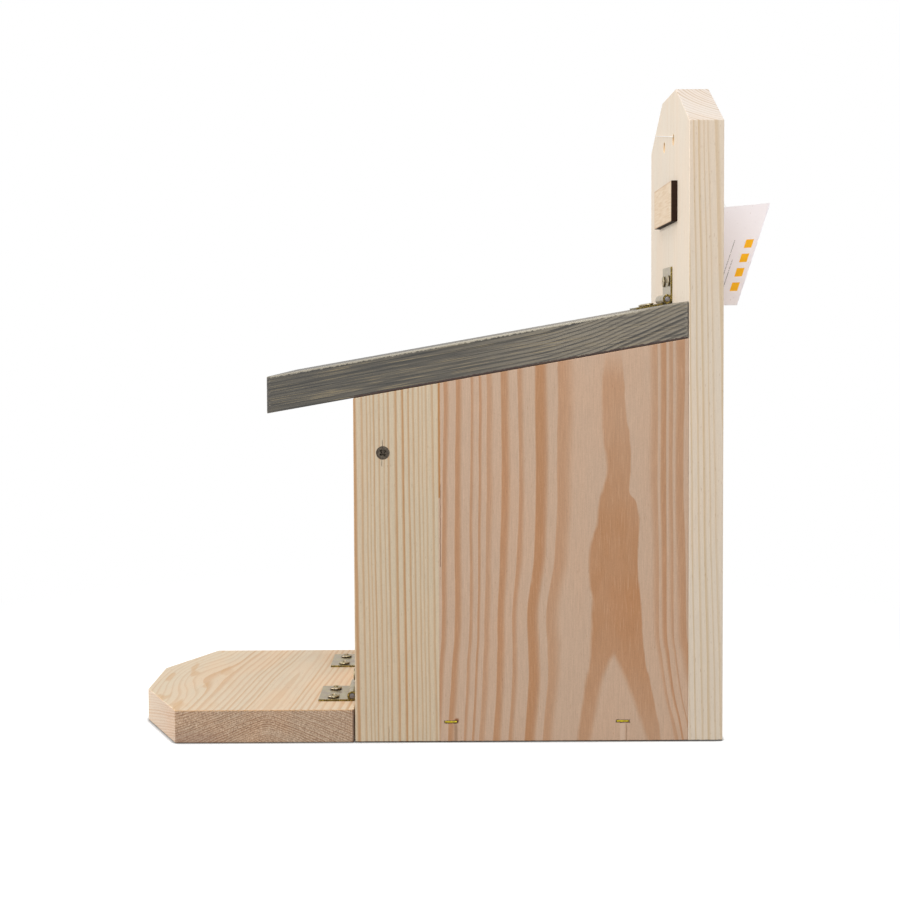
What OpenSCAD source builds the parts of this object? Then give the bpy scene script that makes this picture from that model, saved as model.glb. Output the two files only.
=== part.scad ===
// Squirrel feeder: a pine box with a clear front, a hinged lid, a fold-up platform
// and a tall back board to hang it by. Millimetres, +Z up, the front faces -Y.
// The origin is on the ground plane, under the middle of the whole feeder.
// The parts are drawn from the front plane of the box (y = 0) and set down by the last lines.

/* [Box] */
// Width of the feeder over its two sides
body_w = 125; // [110:1:180]
// Depth of the side panels, from the front to the back board
side_d = 174; // [140:1:240]
// Height of the side panels at their front edge
side_front_h = 180; // [160:1:240]
// Slope of the lid and of the side panels' top edges, in degrees
roof_slope = 9.9; // [4:0.1:18]
// Thickness of the side panels
side_t = 17; // [14:0.5:22]
// Width of the front stave of each side panel
stave_w = 44; // [38:1:70]
// Thickness of the floor board
floor_t = 18; // [14:0.5:24]

/* [Front] */
// Thickness of the front rail
rail_t = 18; // [16:0.5:24]
// Height of the front rail
rail_h = 50; // [42:1:70]
// Thickness of the clear pane
pane_t = 3; // [2:0.25:4]
// Depth of the pane's grooves in the side panels
groove_d = 5; // [3:0.5:8]
// Wood left in front of the pane's grooves
groove_setback = 2.8; // [2:0.2:5]
// Distance from the pane's top edge to the top of the side panels
pane_drop = 2; // [1:0.5:10]
// Thickness of the cross batten behind the pane
batten_t = 18; // [12:0.5:22]
// Height of the cross batten
batten_h = 30; // [20:1:40]
// Distance from the side panels' front top corner down to the middle of the batten
batten_drop = 28.4; // [22:0.2:40]

/* [Back board] */
// Height of the back board above the lid's rear edge
back_rise = 116.45; // [100:0.05:180]
// Thickness of the back board
back_t = 18; // [14:0.5:24]
// Width of the cut at each top corner of the back board
back_cut_w = 40.5; // [20:0.5:48]
// Angle of the corner cuts, in degrees
back_cut_angle = 30; // [15:1:45]
// Diameter of the two hanging holes
hang_hole_d = 6; // [4:0.5:8]
// Distance between the two hanging holes
hang_spacing = 30; // [20:1:44]
// Distance from the top of the back board down to the hanging holes
hang_drop = 26.5; // [20:0.5:40]
// Width of the plaque
plaque_w = 57; // [30:1:80]
// Height of the plaque
plaque_h = 22; // [12:1:26]
// Thickness of the plaque
plaque_t = 3.5; // [2:0.5:4]
// Distance from the top of the back board down to the plaque
plaque_drop = 50.3; // [46:0.1:58]

/* [Lid] */
// Thickness of the lid
lid_t = 18.8; // [14:0.2:22]
// How far the lid reaches past the front of the box
lid_overhang = 44.6; // [20:0.2:60]
// Gap between the lid and the back board
lid_back_gap = 0.4; // [0.3:0.1:1]

/* [Platform] */
// Length of the platform, front to back
platform_l = 117; // [90:1:130]
// Thickness of the platform
platform_t = 17.3; // [14:0.1:22]
// Width of the cut at each front corner of the platform
platform_cut_w = 40.7; // [20:0.1:48]
// Angle of the platform's corner cuts, in degrees
platform_cut_angle = 30; // [15:1:45]
// Gap between the platform and the box
platform_gap = 0.7; // [0.4:0.1:2]

/* [Hinges] */
// Length of each hinge along its pin
hinge_l = 26; // [24:0.5:30]
// Distance from the pin's axis to the edge of a leaf
leaf_w = 18; // [15:0.5:22]
// Thickness of a leaf
leaf_t = 1.1; // [0.8:0.1:1.5]
// Diameter of the hinge pins
pin_d = 3; // [2:0.1:4]
// Distance from the pin's axis to the leaf's screw holes
leaf_hole_reach = 10.4; // [9.5:0.1:12]
// Distance between the two screw holes of a leaf
leaf_hole_spacing = 15.5; // [12:0.5:17]
// Distance from a side panel's inner face to the middle of a platform hinge
hinge_inset = 10.9; // [10.5:0.1:20]
// Diameter of the hinge screws' heads
hinge_head_d = 6.6; // [5.5:0.1:7]
// Length of the hinge screws
hinge_screw_l = 15; // [12:0.5:16]
// How far the hinge screws' heads stand above a leaf
hinge_head_rise = 1.3; // [1.1:0.1:1.4]
// Diameter of the hinge screws' shanks
hinge_shank_d = 3; // [2.5:0.1:3.5]

/* [Fasteners] */
// Diameter of the batten, rail and back screws' heads
screw_head_d = 7; // [6:0.5:8]
// Diameter of the batten, rail and back screws' shanks
screw_shank_d = 3.6; // [3:0.1:4.5]
// Length of the batten and rail screws
screw_l = 38; // [32:1:45]
// Length of the back screws
back_screw_l = 42; // [34:1:50]
// Distance from the bottom and the top of a side panel's rear edge to its back screws
back_screw_inset = 32; // [20:1:60]
// Width of a staple
staple_w = 6.5; // [5:0.5:10]
// Width and thickness of a staple's wire
staple_wire = 1; // [0.8:0.1:1.4]
// Length of a staple's legs
staple_l = 36; // [28:1:45]
// Distance from the front of the box to the front staple
staple_front = 50; // [48:1:72]
// Distance from the front of the box to the rear staple
staple_rear = 139.8; // [100:0.2:139.8]

/* [Swing tag] */
// Width of the tag
tag_w = 37; // [34:1:50]
// Height of the tag
tag_h = 67; // [60:1:70]
// Thickness of the tag's card
tag_t = 0.5; // [0.3:0.1:1]
// Diameter of the tag's punched hole
tag_hole_d = 2.6; // [2.4:0.1:3.4]
// Diameter of the string
string_d = 0.4; // [0.3:0.05:0.4]

/* [Hidden] */

// Colours, as the boards, the plated hinges and the fasteners show them
pale_pine = "wheat";
pink_pine = "burlywood";
grey_stain = "dimgray";
plated = "darkkhaki";
bronze = "darkolivegreen";

// Clearances and overruns
overrun = 1;         // how far a cut reaches past the face that it opens
screw_play = 0.05;   // between a screw and its hole, all round
pin_play = 0.03;     // between a hinge pin and its knuckles, all round
knuckle_gap = 0.3;   // between neighbouring knuckles
roll_rise = 0.1;     // how far a knuckle stays off the board that its leaf lies on
notch_play = 0.4;    // between a leaf and the other leaf's knuckles
pane_play = 0.2;     // between the pane and its grooves
seat_gap = 0.1;      // between the lid and the side panels' top edges
batten_gap = 0.3;    // between the pane and the batten
head_rim = 0.4;      // height of the straight rim of a screw's head
countersink_sink = 0.2; // how far the dark screws' heads sit below the wood
recess_w = 1;        // width of the cross in a screw's head
recess_d = 1.1;      // depth of the cross in a screw's head
staple_sink = 0.3;   // how far a staple's crown sits below the wood
tag_lift = 1.05;     // between the back board and the tag's lower corner
pin_end_sink = 0.3;  // how far a pin's ends sit inside its knuckles
round_sides = 48;    // sides of a full circle
string_sides = 8;    // sides of the string's section

// Parts of another size, chosen by hand
recess_share = 0.62;        // length of the cross over the head's diameter
screw_tip_share = 0.16;     // length of the point over the screw's length
staple_height_share = 0.58; // height of the staples over the floor's thickness
rail_screw_share = 0.3;     // place of the rail screws over the inner width
floor_screw_share = 0.25;   // place of the floor's back screws over the inner width

// The box
inner_w = body_w - 2 * side_t;
board_back_y = side_d + back_t;
feeder_front_y = -max(platform_gap + platform_l, lid_overhang);
centre_y = (board_back_y + feeder_front_y) / 2;
side_rear_h = side_top(side_d);
back_h = lid_top(side_d) + back_rise;
staple_z = floor_t * staple_height_share;
groove_y = groove_setback;
groove_w = pane_t + 2 * pane_play;
batten_y = groove_y + groove_w - pane_play + batten_gap;
batten_z = side_front_h - batten_drop;
plaque_z = back_h - plaque_drop - plaque_h;
hang_z = back_h - hang_drop;
right_side_x = body_w / 2 - side_t;

// The hinges: the pin's axis stands pin_off above both boards
bore_r = pin_d / 2 + pin_play;
knuckle_r = bore_r + leaf_t;
pin_off = knuckle_r + roll_rise;
leaf_notch = knuckle_r + notch_play;
knuckle_l = (hinge_l - 2 * knuckle_gap) / 3;
lid_pin_y = side_d - pin_off;
lid_pin_z = lid_top(lid_pin_y) + pin_off / cos(roof_slope);
platform_pin_y = -pin_off;
platform_pin_z = platform_t + pin_off;
right_hinge_x = inner_w / 2 - hinge_inset;

// The tag stands on its inner lower corner, turned out from the back board and leaning away from it
tag_foot_x = -44.2;
tag_foot_z = 229.5;
tag_turn = 38.5;
tag_lean = 26;
tag_drop = 0.5;
tag_hole_inset = 2.8;
tag_hole_drop = 3.5;

// The string's route from its knot above the tag, over the back board's cut corner, across the
// board's front, back through a hanging hole, down to the knot and round the tag's top edge
string_route = [
  [-54.0, 175.8, 292.6], [-52.6, 171.0, 301.7], [-51.0, 166.0, 311.2], [-49.4, 161.0, 320.7],
  [-48.0, 156.8, 329.0], [-47.8, 155.8, 330.8], [-47.7, 155.3, 331.5], [-47.7, 154.6, 331.9],
  [-47.7, 150.0, 331.8], [-47.7, 142.0, 331.8], [-47.7, 137.2, 331.9], [-47.6, 136.5, 331.6],
  [-47.2, 136.4, 331.1], [-45.5, 136.4, 330.8], [-31.2, 136.4, 328.5], [-17.0, 136.4, 326.3],
  [-2.7, 136.4, 324.0], [11.6, 136.4, 321.7], [12.5, 136.35, 321.5], [13.0, 136.45, 321.48],
  [13.07, 136.9, 321.48], [13.07, 143.0, 321.48], [13.07, 149.0, 321.48], [13.07, 154.9, 321.48],
  [12.9, 155.3, 321.35], [12.4, 155.6, 321.0], [11.0, 156.1, 320.4], [-5.1, 161.1, 313.5],
  [-21.2, 166.0, 306.6], [-37.3, 171.0, 299.8], [-53.0, 176.6, 292.2], [-56.0, 178.1, 289.4],
  [-58.3, 179.1, 287.0], [-59.2, 180.2, 286.2], [-60.1, 181.1, 286.9], [-60.5, 181.9, 289.0],
  [-60.7, 181.9, 290.6], [-60.0, 181.0, 291.4], [-57.5, 178.6, 292.4], [-55.0, 176.8, 292.9]
];

// Height of the side panels' top edge, and of the lid's upper face, at a depth y
function side_top(y) = side_front_h + y * tan(roof_slope);
function lid_top(y) = side_top(y) + (seat_gap + lid_t) / cos(roof_slope);

// The frame of the parts is the front plane of the box
module set_down() {
  translate([0, -centre_y, 0]) children();
}

module both_sides() {
  children();
  mirror([1, 0, 0]) children();
}

// A board standing across the feeder, with its lower back edge at the origin
module standing_board(thickness) {
  rotate([90, 0, 0]) linear_extrude(thickness) children();
}

// An upright board along the feeder, from its left face
module side_board(thickness) {
  rotate([90, 0, 90]) linear_extrude(thickness) children();
}

// Outline of a board with two corners cut off
module cut_corner_outline(w, l, cut_w, angle) {
  cut_l = cut_w * tan(angle);
  polygon([
    [-w / 2, 0], [w / 2, 0], [w / 2, l - cut_l], [w / 2 - cut_w, l],
    [-w / 2 + cut_w, l], [-w / 2, l - cut_l]
  ]);
}

// Profile of a countersunk screw: its head's top stands head_rise above 0 and it points down
function screw_profile(d, l, head_d, head_rise) = [
  [0, head_rise], [head_d / 2, head_rise], [head_d / 2, head_rise - head_rim],
  [d / 2, head_rise - head_rim - (head_d - d) / 2],
  [d / 2, head_rise - l + l * screw_tip_share], [0, head_rise - l]
];

// Profile of the hole that a screw fills, open above its head
function screw_hole_profile(d, l, head_d, head_rise) = [
  [0, head_rise + overrun], [head_d / 2 + screw_play, head_rise + overrun],
  [head_d / 2 + screw_play, head_rise - head_rim],
  [d / 2 + screw_play, head_rise - head_rim - (head_d - d) / 2],
  [d / 2 + screw_play, head_rise - l - screw_play], [0, head_rise - l - screw_play]
];

module screw(d, l, head_d, head_rise) {
  difference() {
    rotate_extrude($fn = round_sides) polygon(screw_profile(d, l, head_d, head_rise));
    for (turn = [0, 90])
      rotate([0, 0, turn])
        translate([-head_d * recess_share / 2, -recess_w / 2, head_rise - recess_d])
          cube([head_d * recess_share, recess_w, recess_d + overrun]);
  }
}

module screw_hole(d, l, head_d, head_rise) {
  rotate_extrude($fn = round_sides) polygon(screw_hole_profile(d, l, head_d, head_rise));
}

// Places of the two screws of a leaf that lies under z = 0 and reaches towards -Y
module at_leaf_screws() {
  for (side = [-1, 1])
    translate([side * leaf_hole_spacing / 2, -leaf_hole_reach, -pin_off + leaf_t]) children();
}

module leaf_screws() {
  at_leaf_screws() screw(hinge_shank_d, hinge_screw_l, hinge_head_d, hinge_head_rise);
}

module leaf_screw_holes() {
  at_leaf_screws() screw_hole(hinge_shank_d, hinge_screw_l, hinge_head_d, hinge_head_rise);
}

// Outlines of a leaf's plate: with two tongues for the outer knuckles, or one for the middle one
outer_outline = [
  [-hinge_l / 2, -leaf_w], [hinge_l / 2, -leaf_w], [hinge_l / 2, 0],
  [hinge_l / 2 - knuckle_l, 0], [hinge_l / 2 - knuckle_l, -leaf_notch],
  [-hinge_l / 2 + knuckle_l, -leaf_notch], [-hinge_l / 2 + knuckle_l, 0], [-hinge_l / 2, 0]
];
middle_outline = [
  [-hinge_l / 2, -leaf_w], [hinge_l / 2, -leaf_w], [hinge_l / 2, -leaf_notch],
  [knuckle_l / 2, -leaf_notch], [knuckle_l / 2, 0], [-knuckle_l / 2, 0],
  [-knuckle_l / 2, -leaf_notch], [-hinge_l / 2, -leaf_notch]
];

// One leaf with its rolled knuckles: the outer two or the middle one. The pin lies along X.
module hinge_leaf(outer) {
  starts = outer ? [0, 2] : [1];
  difference() {
    union() {
      translate([0, 0, -pin_off])
        linear_extrude(leaf_t) polygon(outer ? outer_outline : middle_outline);
      for (k = starts)
        translate([-hinge_l / 2 + k * (knuckle_l + knuckle_gap), 0, 0])
          rotate([0, 90, 0]) cylinder(r = knuckle_r, h = knuckle_l, $fn = round_sides);
    }
    translate([-hinge_l / 2 - overrun, 0, 0])
      rotate([0, 90, 0]) cylinder(r = bore_r, h = hinge_l + 2 * overrun, $fn = round_sides);
    leaf_screw_holes();
  }
}

module hinge_pin() {
  translate([-hinge_l / 2 + pin_end_sink, 0, 0])
    rotate([0, 90, 0]) cylinder(d = pin_d, h = hinge_l - 2 * pin_end_sink, $fn = round_sides);
}

// Places of the hinges' leaves: on the lid, on the platform, and upright behind the pin
module at_lid_leaf() {
  translate([0, lid_pin_y, lid_pin_z]) rotate([roof_slope, 0, 0]) children();
}

module at_back_leaf() {
  translate([0, lid_pin_y, lid_pin_z]) rotate([-90, 0, 0]) mirror([0, 0, 1]) children();
}

module at_platform_leaf(x) {
  translate([x, platform_pin_y, platform_pin_z]) children();
}

module at_rail_leaf(x) {
  translate([x, platform_pin_y, platform_pin_z]) rotate([-90, 0, 0]) mirror([0, 0, 1]) children();
}

// A staple in a side panel's outer face, which lies in the plane x = 0 and faces +X
module staple(play) {
  reach = staple_wire + 2 * play;
  translate([-staple_sink - staple_wire - play, -staple_w / 2 - play, -reach / 2])
    cube([staple_wire + 2 * play, staple_w + 2 * play, reach]);
  for (end = [-1, 1])
    translate([-staple_sink - staple_l - play, end * (staple_w - staple_wire) / 2 - reach / 2, -reach / 2])
      cube([staple_l + play, reach, reach]);
}

// The hole that a staple fills, open at the wood's face
module staple_hole() {
  reach = staple_wire + 2 * screw_play;
  staple(screw_play);
  translate([-staple_sink - staple_wire, -staple_w / 2 - screw_play, -reach / 2])
    cube([staple_sink + staple_wire + overrun, staple_w + 2 * screw_play, reach]);
}

module at_right_staples() {
  for (y = [staple_front, staple_rear]) translate([body_w / 2, y, staple_z]) children();
}

// Screws through the right side panel into the batten's end
module at_right_batten_screw() {
  translate([body_w / 2, batten_y + batten_t / 2, batten_z]) rotate([0, 90, 0]) children();
}

// Screws through the rail into the floor's front edge
module at_rail_screws() {
  for (side = [-1, 1])
    translate([side * inner_w * rail_screw_share, 0, floor_t / 2]) rotate([90, 0, 0]) children();
}

// Screws through the back board into the side panels and the floor
module at_right_back_screws() {
  for (z = [back_screw_inset, side_rear_h - back_screw_inset])
    translate([body_w / 2 - side_t / 2, board_back_y, z]) rotate([-90, 0, 0]) children();
  translate([inner_w * floor_screw_share, board_back_y, floor_t / 2]) rotate([-90, 0, 0]) children();
}

module dark_screw(l) {
  screw(screw_shank_d, l, screw_head_d, -countersink_sink);
}

module dark_screw_hole(l) {
  screw_hole(screw_shank_d, l, screw_head_d, -countersink_sink);
}

// Profile of a side panel's stave between two depths
module stave_profile(front_y, rear_y) {
  polygon([[front_y, 0], [rear_y, 0], [rear_y, side_top(rear_y)], [front_y, side_top(front_y)]]);
}

module side_fastener_holes() {
  at_right_staples() staple_hole();
  at_right_batten_screw() dark_screw_hole(screw_l);
  at_right_back_screws() dark_screw_hole(back_screw_l);
}

module right_front_stave_shape() {
  color(pale_pine) difference() {
    translate([right_side_x, 0, 0]) side_board(side_t) stave_profile(0, stave_w);
    translate([right_side_x - overrun, groove_y, rail_h])
      cube([groove_d + overrun, groove_w, side_rear_h]);
    side_fastener_holes();
  }
}

module right_rear_stave_shape() {
  color(pink_pine) difference() {
    translate([right_side_x, 0, 0]) side_board(side_t) stave_profile(stave_w, side_d);
    side_fastener_holes();
  }
}

module right_side_front_stave() { set_down() right_front_stave_shape(); }

module right_side_rear_stave() { set_down() right_rear_stave_shape(); }

module left_side_front_stave() { set_down() mirror([1, 0, 0]) right_front_stave_shape(); }

module left_side_rear_stave() { set_down() mirror([1, 0, 0]) right_rear_stave_shape(); }

module floor_board() {
  set_down() color(pale_pine) difference() {
    translate([-inner_w / 2, rail_t, 0]) cube([inner_w, side_d - rail_t, floor_t]);
    both_sides() {
      at_right_staples() staple_hole();
      at_right_back_screws() dark_screw_hole(back_screw_l);
    }
    at_rail_screws() dark_screw_hole(screw_l);
  }
}

module front_rail() {
  set_down() color(pale_pine) difference() {
    translate([-inner_w / 2, 0, 0]) cube([inner_w, rail_t, rail_h]);
    at_rail_screws() dark_screw_hole(screw_l);
    both_sides() at_rail_leaf(right_hinge_x) leaf_screw_holes();
  }
}

module cross_batten() {
  set_down() color(pale_pine) difference() {
    translate([-inner_w / 2, batten_y, batten_z - batten_h / 2]) cube([inner_w, batten_t, batten_h]);
    both_sides() at_right_batten_screw() dark_screw_hole(screw_l);
  }
}

module window_pane() {
  pane_w = inner_w + 2 * (groove_d - pane_play);
  set_down() color("lightcyan", 0.4)
    translate([-pane_w / 2, groove_y + pane_play, rail_h])
      cube([pane_w, pane_t, side_front_h - pane_drop - rail_h]);
}

module backboard() {
  set_down() color(pale_pine) difference() {
    translate([0, board_back_y, 0]) standing_board(back_t)
      cut_corner_outline(body_w, back_h, back_cut_w, back_cut_angle);
    for (side = [-1, 1])
      translate([side * hang_spacing / 2, board_back_y + overrun, hang_z])
        rotate([90, 0, 0]) cylinder(d = hang_hole_d, h = back_t + 2 * overrun, $fn = round_sides);
    at_back_leaf() leaf_screw_holes();
    both_sides() at_right_back_screws() dark_screw_hole(back_screw_l);
  }
}

module blank_plaque() {
  set_down() color(pink_pine)
    translate([-plaque_w / 2, side_d - plaque_t, plaque_z]) cube([plaque_w, plaque_t, plaque_h]);
}

// The lid's ends are cut plumb
module lid_board() {
  rear_y = side_d - lid_back_gap;
  under = seat_gap / cos(roof_slope);
  set_down() color(grey_stain) difference() {
    translate([-body_w / 2, 0, 0]) side_board(body_w)
      polygon([
        [-lid_overhang, side_top(-lid_overhang) + under], [rear_y, side_top(rear_y) + under],
        [rear_y, lid_top(rear_y)], [-lid_overhang, lid_top(-lid_overhang)]
      ]);
    at_lid_leaf() leaf_screw_holes();
  }
}

module platform_board() {
  set_down() color(pale_pine) difference() {
    translate([0, -platform_gap, 0]) rotate([0, 0, 180]) linear_extrude(platform_t)
      cut_corner_outline(body_w, platform_l, platform_cut_w, platform_cut_angle);
    both_sides() at_platform_leaf(right_hinge_x) leaf_screw_holes();
  }
}

module lid_hinge_back_leaf() { set_down() color(plated) at_back_leaf() hinge_leaf(true); }

module lid_hinge_lid_leaf() { set_down() color(plated) at_lid_leaf() hinge_leaf(false); }

module lid_hinge_pin() { set_down() color("silver") at_lid_leaf() hinge_pin(); }

module lid_hinge_back_screws() { set_down() color(plated) at_back_leaf() leaf_screws(); }

module lid_hinge_lid_screws() { set_down() color(plated) at_lid_leaf() leaf_screws(); }

module right_hinge_platform_leaf() {
  set_down() color(plated) at_platform_leaf(right_hinge_x) hinge_leaf(true);
}

module right_hinge_rail_leaf() {
  set_down() color(plated) at_rail_leaf(right_hinge_x) hinge_leaf(false);
}

module right_hinge_pin() { set_down() color("silver") at_platform_leaf(right_hinge_x) hinge_pin(); }

module right_hinge_platform_screws() {
  set_down() color(plated) at_platform_leaf(right_hinge_x) leaf_screws();
}

module right_hinge_rail_screws() {
  set_down() color(plated) at_rail_leaf(right_hinge_x) leaf_screws();
}

module left_hinge_platform_leaf() {
  set_down() color(plated) at_platform_leaf(-right_hinge_x) hinge_leaf(true);
}

module left_hinge_rail_leaf() {
  set_down() color(plated) at_rail_leaf(-right_hinge_x) hinge_leaf(false);
}

module left_hinge_pin() { set_down() color("silver") at_platform_leaf(-right_hinge_x) hinge_pin(); }

module left_hinge_platform_screws() {
  set_down() color(plated) at_platform_leaf(-right_hinge_x) leaf_screws();
}

module left_hinge_rail_screws() {
  set_down() color(plated) at_rail_leaf(-right_hinge_x) leaf_screws();
}

module batten_screws() {
  set_down() color(bronze) both_sides() at_right_batten_screw() dark_screw(screw_l);
}

module rail_screws() { set_down() color(bronze) at_rail_screws() dark_screw(screw_l); }

module back_screws() {
  set_down() color(bronze) both_sides() at_right_back_screws() dark_screw(back_screw_l);
}

module floor_staples() { set_down() color("gold") both_sides() at_right_staples() staple(0); }

module swing_tag() {
  set_down() color("mistyrose")
    translate([tag_foot_x, board_back_y + tag_lift, tag_foot_z])
      rotate([-tag_lean, tag_drop, tag_turn]) difference() {
        cube([tag_w, tag_t, tag_h]);
        translate([tag_hole_inset, tag_t + overrun, tag_h - tag_hole_drop])
          rotate([90, 0, 0]) cylinder(d = tag_hole_d, h = tag_t + 2 * overrun, $fn = round_sides);
      }
}

// Direction of a line's stretch, and of the line at one of its points
function unit(v) = v / norm(v);
function stretch(line, i) = unit(line[i + 1] - line[i]);
function heading(line, i) =
  i == 0 ? stretch(line, 0)
  : i == len(line) - 1 ? stretch(line, i - 1)
  : unit(stretch(line, i - 1) + stretch(line, i));

// A direction square to the line at each point, carried along so that the tube doesn't twist
function square_to(v, axis) = unit(v - (v * axis) * axis);
function sides_along(line, i, before) =
  i == len(line) ? []
  : let (now = square_to(before, heading(line, i))) concat([now], sides_along(line, i + 1, now));

// A closed tube along a line
module tube(line, d, sides) {
  across = sides_along(line, 0, [0, 0, 1]);
  rings = [
    for (i = [0 : len(line) - 1])
      let (u = across[i], v = cross(heading(line, i), u))
        for (s = [0 : sides - 1])
          line[i] + (u * cos(360 * s / sides) + v * sin(360 * s / sides)) * d / 2
  ];
  walls = [
    for (i = [0 : len(line) - 2]) for (s = [0 : sides - 1])
      let (a = i * sides + s, b = i * sides + (s + 1) % sides)
        each [[a, a + sides, b + sides], [a, b + sides, b]]
  ];
  ends = [
    for (s = [1 : sides - 2])
      each [[0, s, s + 1], let (e = (len(line) - 1) * sides) [e, e + s + 1, e + s]]
  ];
  polyhedron(points = rings, faces = concat(walls, ends));
}

module tag_string() { color("white") tube(string_route, string_d, string_sides); }

backboard();
right_side_front_stave();
right_side_rear_stave();
left_side_front_stave();
left_side_rear_stave();
floor_board();
front_rail();
cross_batten();
window_pane();
lid_board();
platform_board();
blank_plaque();
lid_hinge_back_leaf();
lid_hinge_lid_leaf();
lid_hinge_pin();
right_hinge_platform_leaf();
right_hinge_rail_leaf();
right_hinge_pin();
left_hinge_platform_leaf();
left_hinge_rail_leaf();
left_hinge_pin();
lid_hinge_back_screws();
lid_hinge_lid_screws();
right_hinge_platform_screws();
right_hinge_rail_screws();
left_hinge_platform_screws();
left_hinge_rail_screws();
batten_screws();
rail_screws();
back_screws();
floor_staples();
swing_tag();
tag_string();
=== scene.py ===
"""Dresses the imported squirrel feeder: pine boards, zinc hinges, fasteners, tag and string.

All lengths inside the classes are millimetres in the row frame (X across, -Y the front, Z up).
"""

import logging
import math
from dataclasses import dataclass
from enum import Enum
from typing import Callable, Iterable, Optional, Sequence, Union

import bmesh
import bpy
from mathutils import Euler, Matrix, Vector


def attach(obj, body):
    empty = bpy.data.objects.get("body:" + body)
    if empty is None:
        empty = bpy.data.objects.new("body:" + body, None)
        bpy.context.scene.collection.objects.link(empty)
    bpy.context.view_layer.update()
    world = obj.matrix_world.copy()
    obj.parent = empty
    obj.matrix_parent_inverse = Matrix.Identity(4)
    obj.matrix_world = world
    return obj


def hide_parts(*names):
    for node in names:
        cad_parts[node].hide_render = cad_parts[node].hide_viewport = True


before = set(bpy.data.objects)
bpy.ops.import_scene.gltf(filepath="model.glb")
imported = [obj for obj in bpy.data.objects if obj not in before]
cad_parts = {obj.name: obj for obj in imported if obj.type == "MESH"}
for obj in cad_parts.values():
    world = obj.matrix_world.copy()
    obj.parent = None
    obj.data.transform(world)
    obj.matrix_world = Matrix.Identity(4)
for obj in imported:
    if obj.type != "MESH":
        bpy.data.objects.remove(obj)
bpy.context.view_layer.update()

log = logging.getLogger("feeder")

MM = 0.001
FRONT_Y = -37.15
SIDE_FACE_X = 62.5
LID_SLOPE = 9.9
SEED_STEP = 517.0
RAW = "raw_metal"
Triple = tuple[float, float, float]
Pair = tuple[float, float]
Pairs = tuple[Pair, ...]
Socket = bpy.types.NodeSocket
Number = Union[float, "Field"]


def srgb(red: float, green: float, blue: float) -> Triple:
    """Turns a colour as seen on screen, 0 to 255, into linear light.

    Args:
        red: Red, 0 to 255.
        green: Green, 0 to 255.
        blue: Blue, 0 to 255.

    Returns:
        The colour as Blender's shaders take it.
    """

    def linear(value: float) -> float:
        """Undoes the screen's curve for one channel."""
        share = value / 255
        return share / 12.92 if share <= 0.04045 else ((share + 0.055) / 1.055) ** 2.4

    return linear(red), linear(green), linear(blue)


class Body(Enum):
    """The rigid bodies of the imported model."""

    BOX = "box"
    PLATFORM = "platform"
    LID = "lid"


# Shader graphs


class Field:
    """A number that varies over a surface, with Python's own arithmetic."""

    def __init__(self, graph: "Graph", socket: Socket) -> None:
        """Keeps the graph and the output that holds the number."""
        self.graph = graph
        self.socket = socket

    def __add__(self, other: Number) -> "Field":
        """Adds a number."""
        return self.graph.math("ADD", self, other)

    __radd__ = __add__

    def __sub__(self, other: Number) -> "Field":
        """Takes a number away."""
        return self.graph.math("SUBTRACT", self, other)

    def __rsub__(self, other: float) -> "Field":
        """Takes this number away from a plain one."""
        return self.graph.math("SUBTRACT", other, self)

    def __mul__(self, other: Number) -> "Field":
        """Multiplies by a number."""
        return self.graph.math("MULTIPLY", self, other)

    def __truediv__(self, other: Number) -> "Field":
        """Divides by a number."""
        return self.graph.math("DIVIDE", self, other)

    def __abs__(self) -> "Field":
        """Drops the sign."""
        return self.graph.math("ABSOLUTE", self)

    def swing(self, amount: float) -> "Field":
        """Turns 0 to 1 into -amount to amount."""
        return (self - 0.5) * (2 * amount)

    def ease(self, low: Number, high: Number, start: float = 0.0, end: float = 1.0) -> "Field":
        """Goes smoothly from start to end as this number goes from low to high.

        Args:
            low: Where the change begins.
            high: Where the change ends.
            start: The result at low.
            end: The result at high.

        Returns:
            The result.
        """
        kind = "ShaderNodeMapRange"
        return self.graph.field(kind, self, low, high, start, end, interpolation_type="SMOOTHSTEP")

    def fall(self, low: Number, high: Number) -> "Field":
        """Falls smoothly from 1 to 0 as this number goes from low to high."""
        return self.ease(low, high, 1.0, 0.0)

    def curve(self, points: Pairs) -> "Field":
        """Maps this number along given points, smoothly.

        Args:
            points: The points, in rising order of their first number.

        Returns:
            The mapped number.
        """
        x_low, x_high = points[0][0], points[-1][0]
        heights = [height for _, height in points]
        y_low, y_high = min(heights), max(heights)
        y_span = max(y_high - y_low, 1e-6)
        share = self.graph.math("DIVIDE", self - x_low, x_high - x_low, clamp=True)
        node = self.graph.put("ShaderNodeFloatCurve", None, share)
        bends = node.mapping.curves[0].points
        while len(bends) < len(points):
            bends.new(0.5, 0.5)
        for bend, (x, y) in zip(bends, points):
            bend.location = ((x - x_low) / (x_high - x_low), (y - y_low) / y_span)
            bend.handle_type = "AUTO_CLAMPED"
        node.mapping.update()
        return Field(self.graph, node.outputs[0]) * y_span + y_low


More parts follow.
